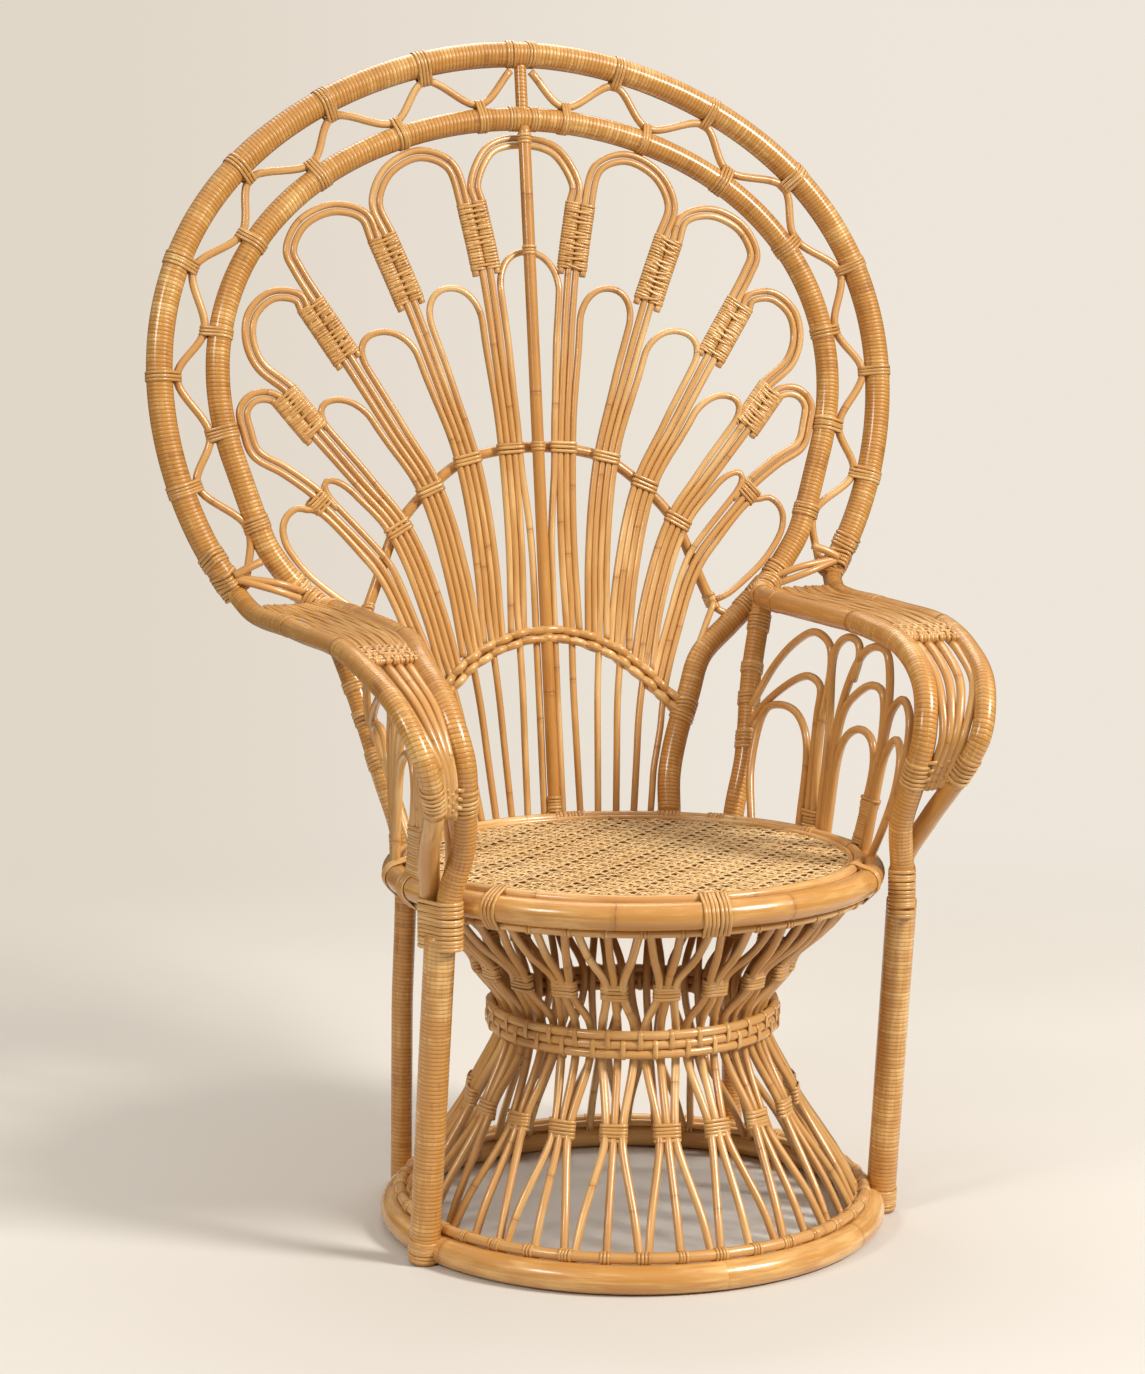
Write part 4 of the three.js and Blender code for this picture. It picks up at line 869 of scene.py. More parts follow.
outer_right = beside_hoop(outer_radius, outer_form, np.linspace(0, outer_end, 60))
hoop_lines = [(smooth(outer_right, 4), outer_pole), (smooth(inner_right, 4), inner_pole)]
for name, side in mirror_of.items():
    piece = Piece(f"hoop_wave_{name}_cane")
    places = [wave_place(index) for index in range(wave_count + 1)]
    places[0][0] = wave_start
    back_cane(piece, np.array(places) * side, wave_pole)
    for index in range(1, wave_count + 1):
        line, hoop_pole = hoop_lines[index % 2]
        nearest = np.linalg.norm(line[:, :2] - places[index][:2], axis=1).argmin()
        hoop, ahead = line[nearest] * side, tangent_of(line, nearest) * side
        poles = [(hoop, hoop_pole), (places[index] * side, wave_pole)]
        style = {"lean": rng.normal(0, 0.04), "width": 4.2, "pitch": 4.4, "lift": 0.6}
        back_tie(piece, hoop, ahead, poles, int(rng.integers(3, 5)), **style)
    piece.make([f"hoop_wave_{name}"], "pale_cane")
print("wave ties:", 2 * wave_count)

# %% [markdown]
# ## The centre post
# A straight bare pole stands in the middle of the fan, and between the hoops it goes on
# as a short wound crown post. One pole could be built from the seat to the top, but the
# maker uses two finishes here, and two pieces let each keep its own.

# %% Post and crown post
post_pole, post_behind = 7.9, -4.35
post = Piece("centre_post_pole")
post_path = on_back(np.array([[0, up, post_behind] for up in np.linspace(-12, fan_height - 10, 120)]))
post_swell = uneven(len(post_path), 0.03, 4, False)
post.sweep(post_path, to_back, round_section(post_pole, 18), "honey_pole", scale=post_swell)
post_ties = ((14, 5), (fan_height * 0.53, 3), (fan_height * 0.811, 3), (fan_height - 26, 3))
for up, turns in post_ties:
    place = (0, up, post_behind)
    back_tie(post, place, (0, 1, 0), [(place, post_pole)], turns, width=4.3, pitch=4.2)
post.make(["centre_post"], "honey_cane")
crown = Piece("crown_post_wound")
outer_top = hoop_centre + outer_radius * sum(outer_form)
crown_path = on_back(np.array([[0, up, 0] for up in np.linspace(fan_height, outer_top, 16)]))
wound(crown, crown_path, to_back, post_pole, 18)
for up, radius, pole in ((outer_top, outer_radius, outer_pole), (fan_height, inner_radius, inner_pole)):
    for aside in (-13, 13):
        poles = [((aside, up, 0), pole)]
        back_tie(crown, (aside, up - 0.2, 0), (1, 0, 0), poles, 3, lean=0.12 * np.sign(aside))
crown.make(["crown_post"], "splint")

# %% [markdown]
# ## Petals
# Each petal of the fan is a pair of canes bent over together, like a hairpin. Their legs
# come together with the neighbour's in a bundle, and the bundles run down to the seat.
# The drawing has one line for each bundle, and a cane is placed by its row down the
# bundle and its slot beside it, counted in cane widths. This keeps the canes side by side
# without touching, however the bundle bends.

# %% Bundle lines and slots
fan_cane, fan_pitch = 4.4, 9.7
bundle_lines = [
    [(0.188, 0.878), (0.148, 0.783), (0.119, 0.664), (0.091, 0.528),
     (0.08, 0.388), (0.086, 0.256), (0.091, 0)],
    [(0.495, 0.829), (0.41, 0.736), (0.323, 0.626), (0.24, 0.513),
     (0.197, 0.388), (0.179, 0.243), (0.149, 0)],
    [(0.741, 0.734), (0.628, 0.657), (0.492, 0.559), (0.371, 0.472),
     (0.298, 0.36), (0.252, 0.226), (0.207, 0)],
    [(0.842, 0.608), (0.741, 0.553), (0.606, 0.483), (0.483, 0.417),
     (0.394, 0.321), (0.328, 0.199), (0.262, 0)],
    [(0.777, 0.465), (0.664, 0.415), (0.545, 0.354), (0.454, 0.26),
     (0.386, 0.172), (0.348, 0.089), (0.313, 0)],
]
low_rows = (4.95, 4.95, 4.95, 4.95, 3.95)
head_foot, row_nudge, head_steps, head_fullness = 1.6, 0.02, 24, 0.93
leg_rows = np.array([head_foot, 1.9, 2.2, 2.5, 2.75, 3.1, 3.5, 3.9, 4.3, 4.6, 4.95, 5.3, 5.65, 6])


def bundle_place(bundle, row, slot):
    """A drawn place: rows run down the bundle, slots lie beside it towards the middle."""
    points = drawn(bundle_lines[bundle])
    here, ahead = at_row(points, [row])[0], at_row(points, [row + row_nudge])[0]
    back = at_row(points, [row - row_nudge])[0] if row > row_nudge else here
    run = (ahead - back) / np.linalg.norm(ahead - back)
    return here + np.array([run[1], -run[0], 0]) * slot * fan_pitch


def eased(share):
    t = min(max(share, 0), 1)
    return t * t * (3 - 2 * t)


def closing(row):
    """From 0 where the heads begin to 1 where the legs lie closest."""
    return eased((row - head_foot) / 1.15)


def inner_slot(row):
    return -0.5 + 0.05 * closing(row) + 0.45 * eased((row - 4.6) / 0.7)


def outer_slot(row):
    return 0.5 - 0.05 * closing(row)


def small_slot(row, sign=1):
    return sign * (1.65 - 0.33 * closing(row))


def leg(bundle, first, last, slot):
    """The drawn places of one leg; only the inner canes run down to the seat."""
    if last < leg_rows[-1]:
        last = min(last, low_rows[bundle])
    rows = leg_rows[(leg_rows >= first) & (leg_rows <= last)]
    return np.array([bundle_place(bundle, row, slot(row)) for row in rows])


def petal_head(start, end, top, aim, bulge):
    """A leaning half ellipse over two places, which it leaves along the aim."""
    centre, half = (start + end) / 2, (end - start) / 2
    height = drawn((0, top))[0][1] - centre[1]
    rise = aim * math.sqrt(height**2 - half[1] ** 2) / aim[1]
    angle = math.pi * (1 - np.linspace(0, 1, head_steps + 1))[:, None]
    aside, upward = np.cos(angle), np.sin(angle)
    head = centre + half * np.sign(aside) * np.abs(aside) ** head_fullness
    head += rise * np.abs(upward) ** head_fullness
    head[:, 2] = bulge * upward[:, 0]
    return head


def beside(line, offset):
    """A line moved sideways in the plane of the drawing, to the left of its run."""
    run = np.gradient(line[:, :2], axis=0)
    run /= np.linalg.norm(run, axis=1)[:, None]
    moved = line.copy()
    moved[:, 0] -= offset * run[:, 1]
    moved[:, 1] += offset * run[:, 0]
    return moved


print("bundles on each side:", len(bundle_lines))

# %% Large petals
large_heads = [
    [(-0.176, 0.905), (-0.111, 0.957), (0, 0.977), (0.111, 0.957), (0.176, 0.905)],
    [(0.256, 0.932), (0.357, 0.947), (0.466, 0.922), (0.51, 0.877)],
    [(0.553, 0.859), (0.653, 0.869), (0.758, 0.847), (0.801, 0.808), (0.777, 0.782)],
    [(0.78, 0.743), (0.86, 0.747), (0.93, 0.722), (0.945, 0.686), (0.915, 0.65)],
    [(0.905, 0.607), (0.947, 0.602), (0.975, 0.585), (0.983, 0.558), (0.941, 0.527), (0.849, 0.502)],
]
pair_slot = 1.05
petal_inset = inner_pole + fan_pitch / 2 + fan_cane + 3
long_row, last_row, middle_bulge = 4.95, 6, 11


def large_head(shares, bulge):
    """The held places of a head, drawn in where they would touch the inner hoop."""
    head = drawn(shares)
    out = head[:, :2] - [0, hoop_centre]
    angle = np.arctan2(out[:, 0], out[:, 1])
    limit = sum(inner_radius * share * np.cos(order * angle) for order, share in enumerate(inner_form))
    size = np.linalg.norm(out, axis=1)
    out *= (np.minimum(size, limit - petal_inset) / size)[:, None]
    head[:, :2] = out + [0, hoop_centre]
    head[:, 2] = bulge * (1 - np.abs(np.linspace(-1, 1, len(head))))
    return head


def large_petal(piece, index, side):
    """The outer cane of the pair runs on as both legs, the inner one ends below the wraps."""
    tails = (0, 0.35, 0.6) if index == 4 else (0, 0.5, 1.06)
    end = [bundle_place(index, row, pair_slot) for row in tails]
    if index:
        start = [bundle_place(index - 1, row, -pair_slot) for row in (1.06, 0.5, 0)]
    else:
        start = [flipped(place) for place in end[::-1]]
    head = large_head(large_heads[index], 0 if index else middle_bulge)
    line = smooth(np.vstack([start, head, end]), 6)
    back_cane(piece, beside(line, -fan_pitch / 2) * side, fan_cane, step=4.5)
    long_leg = leg(index, head_foot, long_row, outer_slot)
    other = leg(index - 1, head_foot, last_row, inner_slot) if index else flipped(long_leg)
    whole = np.vstack([other[::-1], beside(line, fan_pitch / 2)[2:-2], long_leg])
    back_cane(piece, whole * side, fan_cane, step=4.5)


def on_bundle(bundle, row, slots, radius, side):
    """The bundle's middle line at a row, the way along it, and its poles."""
    here, further = (bundle_place(bundle, at, 0) * side for at in (row, row + 0.05))
    return here, further - here, [(bundle_place(bundle, row, slot) * side, radius) for slot in slots]


def bundle_wrap(piece, bundle, side):
    """Splint wound tight round each pair, and a looser lacing over both."""
    first, last = (0.1, 0.5) if bundle == 4 else (0.0, 0.97)
    count = int(round(24 * (last - first)))
    for slots in ((-1.55, -0.55), (0.55, 1.55)):
        for row in np.linspace(first, last, count):
            _, ahead, poles = on_bundle(bundle, row, slots, fan_cane, side)
            centre = np.mean([place for place, _ in poles], axis=0)
            back_tie(piece, centre, ahead, poles, 1, width=3.7, thick=1.1, lean=rng.normal(0, 0.05))
    steps = np.linspace(first + 0.04, last - 0.04, count // 2 + 1)
    lacing = [row for row in steps if rng.random() < 0.7]
    for row in lacing:
        here, ahead, poles = on_bundle(bundle, row, (-pair_slot, pair_slot), fan_cane + 1.0, side)
        back_tie(piece, here, ahead, poles, 1, width=3.8, thick=1.1, lean=rng.normal(0, 0.16))


middle = Piece("large_petal_middle_canes")
large_petal(middle, 0, mirror_of["right"])
middle.make(["large_petal_middle"], "pale_cane")
for name, side in mirror_of.items():
    for index in range(1, 5):
        piece = Piece(f"large_petal_{name}_{index}_canes")
        large_petal(piece, index, side)
        bundle_wrap(piece, index - 1, side)
        piece.make([f"large_petal_{name}_{index}"], "pale_cane")
print("large petals:", 9, "faces in the last:", made[piece.name])

# %% The last petal beside the hoop, a single cane
last_head = [
    (0.784, 0.447), (0.815, 0.449), (0.85, 0.438), (0.864, 0.422), (0.858, 0.402),
    (0.835, 0.383), (0.786, 0.356), (0.709, 0.327), (0.65, 0.309), (0.606, 0.301),
]
fallen_shares = [(0.595, 0.296), (0.552, 0.258), (0.502, 0.21), (0.468, 0.16)]
for name, side in mirror_of.items():
    piece = Piece(f"last_petal_{name}_cane")
    start = leg(4, head_foot, last_row, inner_slot)[::-1]
    path = np.vstack([start, [bundle_place(4, 0.35, -0.5)], drawn(last_head)])
    back_cane(piece, path * side, fan_cane)
    fallen = drawn(fallen_shares, -2)
    back_cane(piece, fallen * side, fan_cane)
    for row in (0.16, 0.3):
        here, ahead, poles = on_bundle(4, row, (-0.5, 0.55, 1.55), fan_cane, side)
        back_tie(piece, here, ahead, poles, 3, lean=0.2)
    piece.make([f"large_petal_{name}_5"], "pale_cane")

# %% Small petals
small_petals = [
    # row and slot of the inner end, the top's share of the fan, row and slot of the outer end
    ((1.25, -1.6), 0.811, (1.25, 1.6)),
    ((1.56, -1.65), 0.757, (1.34, 1.65)),
    ((1.6, -1.65), 0.695, (1.2, 1.65)),
    ((1.74, -1.63), 0.6, (1.08, 1.65)),
    ((2.14, -1.5), 0.487, (0.5, 1.75)),
]
post_flank = [(0.057, 0.5), (0.036, 0.4), (0.032, 0.26), (0.032, 0)]


def below(row):
    """The first row of a leg whose head ends at this row."""
    return max(row, head_foot) + 0.05


def small_petal(piece, index, side):
    inner_held, top, outer_held = small_petals[index]
    outer_start = bundle_place(index, *outer_held)
    outer_leg = leg(index, below(outer_held[0]), long_row if index else 2.75, small_slot)
    if index:
        inner_start = bundle_place(index - 1, *inner_held)
        inner_leg = leg(index - 1, below(inner_held[0]), long_row, lambda row: small_slot(row, -1))
    else:
        outer_leg = np.vstack([outer_leg, drawn(post_flank)])
        inner_start, inner_leg = flipped(outer_start), flipped(outer_leg)
    aim = inner_start - inner_leg[0] + outer_start - outer_leg[0]
    aim[2] = 0
    head = petal_head(inner_start, outer_start, top, aim, 0 if index else fan_pitch)
    back_cane(piece, np.vstack([inner_leg[::-1], head, outer_leg]) * side, fan_cane)


middle = Piece("small_petal_middle_cane")
small_petal(middle, 0, mirror_of["right"])
middle.make(["small_petal_middle"], "pale_cane")
for name, side in mirror_of.items():
    for index in range(1, 5):
        piece = Piece(f"small_petal_{name}_{index}_cane")
        small_petal(piece, index, side)
        piece.make([f"small_petal_{name}_{index}"], "pale_cane")
print("small petals:", 9)

# %% [markdown]
# ## Arcs across the fan
# A pole behind the canes holds the bundles at mid height, tied to each with three flat
# turns. Lower down two bands of twisted splint pass through them. Straight strips would
# do from far away, but the twist is a sine across the fan's own surface, so it costs
# nothing more and gives the band its row of small lights.

# %% The middle arc
mid_arc = [
    (0, 0.53), (0.091, 0.528), (0.24, 0.513), (0.371, 0.472),
    (0.483, 0.417), (0.545, 0.354), (0.575, 0.322), (0.597, 0.3),
]
stub_shares = [(0.603, 0.29), (0.64, 0.281), (0.7, 0.284)]
arc_behind, arc_pole, held_row = 11.45, 7.0, 3
arc = Piece("mid_arc_pole")
arc_path = on_back(smooth(both_sides(drawn(mid_arc, arc_behind))))
arc.sweep(arc_path, to_back, round_section(arc_pole, 14), "honey_pole")
for name, side in mirror_of.items():
    for bundle in range(4):
        here, further = (bundle_place(bundle, row, 0) for row in (held_row, held_row + 0.1))
        slots = (-1.3, 0, 1.3)
        poles = [(bundle_place(bundle, held_row, slot) * side, fan_cane + 0.4) for slot in slots]
        poles.append((drawn(mid_arc[bundle + 1], arc_behind)[0] * side, arc_pole))
        style = {"width": 4.8, "pitch": 5.1, "thick": 1.5}
        back_tie(arc, (here + [0, 0, 4]) * side, (further - here) * side, poles, 3, **style)
    end = drawn(mid_arc[-1], arc_behind)[0]
    back_cane(arc, drawn(stub_shares, 3) * side, fan_cane + 0.6)
    for turns, lean in ((4, 0.35), (3, -0.3)):
        poles = [(end * side, arc_pole), ((end - [0, 0, 9]) * side, fan_cane)]
        ahead = np.array([0.4, -1, 0]) * side
        back_tie(arc, end * side, ahead, poles, turns, lean=lean, width=4.4, thick=1.6)
arc.make(["mid_arc"], "honey_cane")

# %% The woven low arc
low_arc = [
    (0, 0.26), (0.088, 0.256), (0.179, 0.243), (0.252, 0.226),
    (0.328, 0.199), (0.389, 0.172), (0.46, 0.14),
]
twist_step, twist_swing, band_lift, post_width, over_post = 23, 7.0, 5.6, 15, 9.5
twist = Piece("low_arc_weave")
low_line = smooth(both_sides(drawn(low_arc)), 4)
length = np.r_[0, np.cumsum(np.linalg.norm(np.diff(low_line, axis=0), axis=1))]
at_post = np.exp(-((low_line[:, 0] / post_width) ** 2))
strip = np.array([[4.3, 5.2]]) * round_section(1, 10)
for row, lift in enumerate((-band_lift, band_lift)):
    for strand in (0, 1):
        swing = np.sin(math.pi * length / twist_step + math.pi * strand + row * math.pi / 2)
        path = beside(low_line, lift + 1.1 * (strand - 0.5))
        path[:, 2] += (twist_swing - 7.5 * at_post) * swing - over_post * at_post
        facing = on_back(path + [0, 0, -3]) - on_back(path)
        twist.sweep(on_back(path), facing, strip, "splint")
line, end = smooth(inner_right, 4), low_line[-1]
middle = np.linalg.norm(line[:, :2] - end[:2], axis=1).argmin()
for name, side in mirror_of.items():
    for shift, lean in ((-2, 0.25), (1, -0.15)):
        place = line[middle + shift] * side
        poles = [(place, inner_pole), ((end + [-6, 3, -3]) * side, 4.6)]
        style = {"width": 4.6, "pitch": 5.0, "thick": 1.6, "lean": lean}
        back_tie(twist, place, tangent_of(line, middle + shift) * side, poles, 3, **style)
twist.make(["low_arc"], "honey_cane")
print("arcs made")

# %% [markdown]
# ## Legs and rails
# The front legs are straight wound poles, each with a collar that holds the ends of two
# rails. The rails sweep forward over the arm and come down into the leg, wound at the
# bends and bare on most of the arm's length. Their paths are the same held places as in
# the CAD model, so that the model and the picture stay one chair.

# %% Front legs with their collars
leg_azimuth, foot_azimuth, post_azimuth = 63, 73, 135
leg_pole, rear_pole = 18.0, 13.5
collar_radius, collar_height, collar_turns = 322.2, 410, 12
inner_collar, outer_collar, inner_rail_end, outer_rail_end = -14.6, 16.2, 14.6, 13
leg_foot, leg_top = polar(305, foot_azimuth, 3), polar(collar_radius, leg_azimuth, 401)


def collar_place(offset, height):
    return polar(collar_radius, leg_azimuth, height) + polar(1, leg_azimuth + 90, 0) * offset


def pole_tie(piece, path, share, poles, turns, **style):
    """Turns round a pole and its neighbours, at a share of the pole's path."""
    index = int(share * (len(path) - 1))
    poles = [(path[index], poles[0]), *poles[1:]]
    tie(piece, path[index], tangent_of(path, index), poles, turns, **style)


for name, side in mirror_of.items():
    piece = Piece(f"front_leg_{name}_wound")
    path = even(np.array([leg_foot, leg_top]) * side, 7)
    wound(piece, path, outward_of(path), leg_pole)
    ends = ((inner_collar, inner_rail_end), (outer_collar, outer_rail_end))
    poles = [(collar_place(offset, collar_height) * side, radius) for offset, radius in ends]
    centre = collar_place(0, collar_height + 2) * side
    tie(piece, centre, (0, 0, 1), poles, collar_turns, width=4.7, pitch=4.7, thick=1.8)
    pole_tie(piece, path, 0.04, [leg_pole], 5, width=4.6, pitch=4.7, thick=1.6)
    ring_end = polar(base_radius, foot_azimuth, base_pole) * side
    pole_tie(piece, path, 0.06, [leg_pole, (ring_end, base_pole)], 3, width=4.8, pitch=5.2, thick=1.6)
    piece.make([f"front_leg_{name}"], "splint")

# %% The rails of the arms
outer_rail = np.array([
    [398, 291, 728], [393, 240, 722], [388, 150, 722], [386, 60, 721], [378, -60, 718], [368, -145, 700],
    [353, -220, 665], [334, -250, 610], [318, -228, 560], [308, -176, 504],
])
inner_rail = np.array([
    [302, 322, 724], [284, 250, 722], [281, 150, 721], [282, 50, 720], [288, -45, 716], [297, -125, 699],
    [291, -190, 660], [280, -213, 605], [274, -198, 550], [270, -177, 500],
])
outer_start = on_back(beside_hoop(outer_radius, outer_form, outer_end))
outer_rail = np.vstack([outer_start, outer_rail, [collar_place(outer_collar, z) for z in (441, 402)]])
inner_rail = np.vstack([inner_rail, [collar_place(inner_collar, z) for z in (441, 402)]])
rail_poles = {"inner": (inner_rail, 14.25), "outer": (outer_rail, 12.5)}
bare_inset = 0.8  # a bare length lacks the splint's thickness
inner_last, outer_last = len(inner_rail) - 1, len(outer_rail) - 1
rail_lengths = {
    # first row, last row, skin
    "inner": [(0, 1.4, "wound_pole"), (1.35, 3.65, "honey_pole"), (3.6, inner_last, "wound_pole")],
    "outer": [(0, 3.2, "wound_pole"), (3.15, 5.05, "honey_pole"), (5, 9.15, "wound_pole"),
              (9.1, outer_last, "honey_pole")],
}
for name, side in mirror_of.items():
    for label, (held, radius) in rail_poles.items():
        piece = Piece(f"{label}_rail_{name}_wound")
        for first, last, skin in rail_lengths[label]:
            path = even(at_row(held * side, np.append(np.arange(first, last, 0.05), last)), 7)
            size = radius - (bare_inset if skin == "honey_pole" else 0)
            piece.sweep(path, [1, 0, 0], round_section(size, 24), skin)
        piece.make([f"{label}_rail_{name}"], "splint")

# %% [markdown]
# ## Rear posts and the corner behind the arm
# Behind each arm the rear post, the inner rail, both hoops and two short link canes meet.
# The maker ties this corner again and again in different directions. The crossing is
# found on the curves themselves, as the nearest point to the rail's height, so the
# lashings stay in place when a curve is changed.

# %% Lashings and links at the corner
rear_top = np.vstack([[245, 235, 520], [268, 270, 620], at_row(inner_rail, [0.32]) - [0, 0, 11]])
post_bindings = ((541, 5), (590, 4), (632, 3))
lash = {"width": 4.6, "pitch": 4.8}
rail_tie = 14.3


def lashings(piece, side):
    """Turns round the inner hoop below and above the rail, and crossed ones over both."""
    hoop_path = on_back(smooth(inner_right)) * side
    crossing = np.abs(hoop_path[:, 2] - inner_rail[0][2]).argmin()
    rail_path = smooth(inner_rail * side)
    for shift, turns in ((-5, 4), (4, 5)):
        place, ahead = hoop_path[crossing + shift], tangent_of(hoop_path, crossing + shift)
        tie(piece, place, ahead, [(place, inner_pole)], turns, thick=1.8, **lash)
    place, ahead = hoop_path[crossing], tangent_of(hoop_path, crossing)
    poles = [(place, inner_pole), (rail_path[1], rail_tie)]
    for lean in (0.45, -0.45):
        tie(piece, place, ahead, poles, 5, lean=lean, thick=1.8, **lash)
    pole_tie(piece, rail_path, 0.035, [rail_tie], 5, thick=1.7, **lash)


def hoop_links(piece, side):
    """Two canes from the rail to the end of the outer hoop, and the wave's short end."""
    hoop_end = on_back(beside_hoop(outer_radius, outer_form, [outer_end - 2, outer_end - 5.5])) * side
    for start in ([312, 322, 741], [318, 316, 733]):
        onward = np.array(start) + [42, -12, 16]
        link = np.array([start * side, onward * side, hoop_end[0] + [0, -14, 4]])
        piece.sweep(smooth(link), [0, 0, 1], round_section(4.6, 10), "pale_cane")
    stub = hoop_end[0] + np.array([[-42, -14, 22], [-22, -18, 14], [-6, -19, 6]]) * side
    piece.sweep(smooth(stub, 4), [0, 0, 1], round_section(5.2, 10), "pale_cane")
    for place, lean in zip(hoop_end, (0.1, -0.25)):
        poles = [(place, outer_pole), (place + [0, -outer_pole - 3, 0], 5)]
        style = {"width": 4.6, "pitch": 4.9, "thick": 1.7, "lean": lean}
        tie(piece, place, hoop_end[0] - hoop_end[1], poles, 4, **style)


# %% Rear posts
for name, side in mirror_of.items():
    piece = Piece(f"rear_post_{name}_wound")
    held = np.vstack([polar([321.5, 318.4, 315.3], post_azimuth, [0, 215, 431]), rear_top])
    path = smooth(held * side)
    wound(piece, path, outward_of(path), rear_pole)
    for height, turns in post_bindings:
        share = np.abs(path[:, 2] - height).argmin() / (len(path) - 1)
        style = {"width": 4.8, "pitch": 5.0, "thick": 1.7, "lean": rng.normal(0, 0.05)}
        pole_tie(piece, path, share, [rear_pole], turns, **style)
    lashings(piece, side)
    pole_tie(piece, path, 0.97, [rear_pole], 5, thick=1.7, **lash)
    hoop_links(piece, side)
    piece.make([f"rear_post_{name}"], "splint")
print("rails and posts made")

# %% [markdown]
# ## Arm tops
# Between the rails lie a flat panel of long strands, woven before its knotted edge, then
# four slats that follow the bend of the arm, and a woven band low on the front. Every
# strand is placed between the two rails by its row and its share of the gap, so it
# follows them round the bend without being bent by hand.

# %% Slats, woven top and band
arm_rows = {"inner": inner_rail, "outer": outer_rail[1:]}


def between_rails(row, share):
    inner_place, outer_place = (at_row(held, [row])[0] for held in arm_rows.values())
    return inner_place * (1 - share) + outer_place * share


def across_arm(row, low, high, lift):
    """Nine places from rail to rail at one row, lifted a little."""
    return np.array([between_rails(row, share) for share in np.linspace(low, high, 9)]) + [0, 0, lift]


slat_shares, slat_cane, edge_cane = (0.24, 0.42, 0.6, 0.82), 5.4, 3.4
top_strands, top_pitch, top_woven, top_lift = 16, 9.0, 62.0, 6.5
band_rows, band_strands, band_out, band_swing = (7.55, 8.03), 6, 9.0, 7.0
band_shares = (0.0, 0.3, 0.43, 0.57, 0.7, 1.0)


def slats(piece, side):
    for share in slat_shares:
        narrow = 0.5 + (share - 0.5) * 0.62
        held = [between_rails(row, share) for row in (4.6, 4.85, 5.2, 6)]
        held += [between_rails(row, narrow) for row in (7, 7.6, 8.2)]
        path = smooth(np.array(held) * side)
        piece.sweep(path, [1, 0, 0], round_section(slat_cane, 10), "pale_cane")


def woven_top(piece, side):
    """Long strands over the flat of the arm, with weavers near the front edge."""
    rows = np.arange(0.25, 4.93, 0.04)
    middle = [between_rails(row, 0.5) for row in rows]
    along = np.r_[0, np.cumsum(np.linalg.norm(np.diff(middle, axis=0), axis=1))]
    woven = np.clip((along - along[-1] + top_woven) / 25, 0, 1)
    for number in range(top_strands):
        share = 0.1 + 0.8 * number / (top_strands - 1)
        spread = 0.5 + (share - 0.5) * (0.86 + 0.14 * woven)
        held = np.array([between_rails(row, at) for row, at in zip(rows, spread)])
        swing = np.sin(math.pi * along / top_pitch + math.pi * number)
        sag = 0.8 * np.sin(along / 37 + number * 2.3)
        held[:, 2] += top_lift + 0.7 * swing * woven + rng.normal(0, 0.4) + sag
        piece.sweep(held * side, [0, 0, 1], splint_section(4.9, 2.4), "splint")
    for reach in np.arange(along[-1] - top_woven + 12, along[-1], top_pitch):
        weaver = across_arm(np.interp(reach, along, rows), 0.08, 0.92, 7.4)
        piece.sweep(smooth(weaver * side, 4), [0, 0, 1], splint_section(5.4, 1.2), "splint")


def knotted_edge(piece, side):
    for row in (4.78, 4.9):
        edge = smooth(across_arm(row, 0.1, 0.9, 7.5) * side, 4)
        piece.sweep(edge, [0, 0, 1], round_section(edge_cane, 10), "pale_cane")
        for share in np.linspace(0.04, 0.96, 13):
            place = edge[int(share * (len(edge) - 1))]
            style = {"width": 4.6, "thick": 1.4, "lean": rng.normal(0, 0.5), "lift": 0.5}
            tie(piece, place, edge[-1] - edge[0], [(place, edge_cane)], 1, **style)


def low_band(piece, side):
    """Splints woven through the slats, each end wound once round its rail."""
    for number in range(band_strands):
        row = band_rows[0] + (band_rows[1] - band_rows[0]) * number / (band_strands - 1)
        over = 1 if number % 2 else -1
        held = []
        for step, share in enumerate(band_shares):
            out = -band_out if share in (0, 1) else -over * band_swing * (-1) ** step
            held.append(between_rails(row, share) + [0, out, 0])
        path = smooth(np.array(held) * side, 4)
        piece.sweep(path, [0, -1, 0.1], splint_section(4.6, 1.4), "splint")
        for share, radius in ((0, 14.4), (1, 12.7)):
            place = between_rails(row, share) * side
            ahead = (between_rails(row + 0.1, share) - between_rails(row, share)) * side
            tie(piece, place, ahead, [(place, radius)], 1, width=4.4, thick=1.5)


# %% Each arm's top, from the back to the front
for name, side in mirror_of.items():
    piece = Piece(f"arm_slats_{name}_canes")
    for part in (slats, woven_top, knotted_edge, low_band):
        part(piece, side)
    piece.make([f"arm_slats_{name}"], "pale_cane")

# %% [markdown]
# ## Canes under the arms
# Each arm is filled by canes bent to arches that rise from the rim, most of them from two
# tied bundles. Their held places are shares: how far along the arm, and how far up from
# the rim to the rail. They were read from both arms of the photograph, and the same
# table serves both.

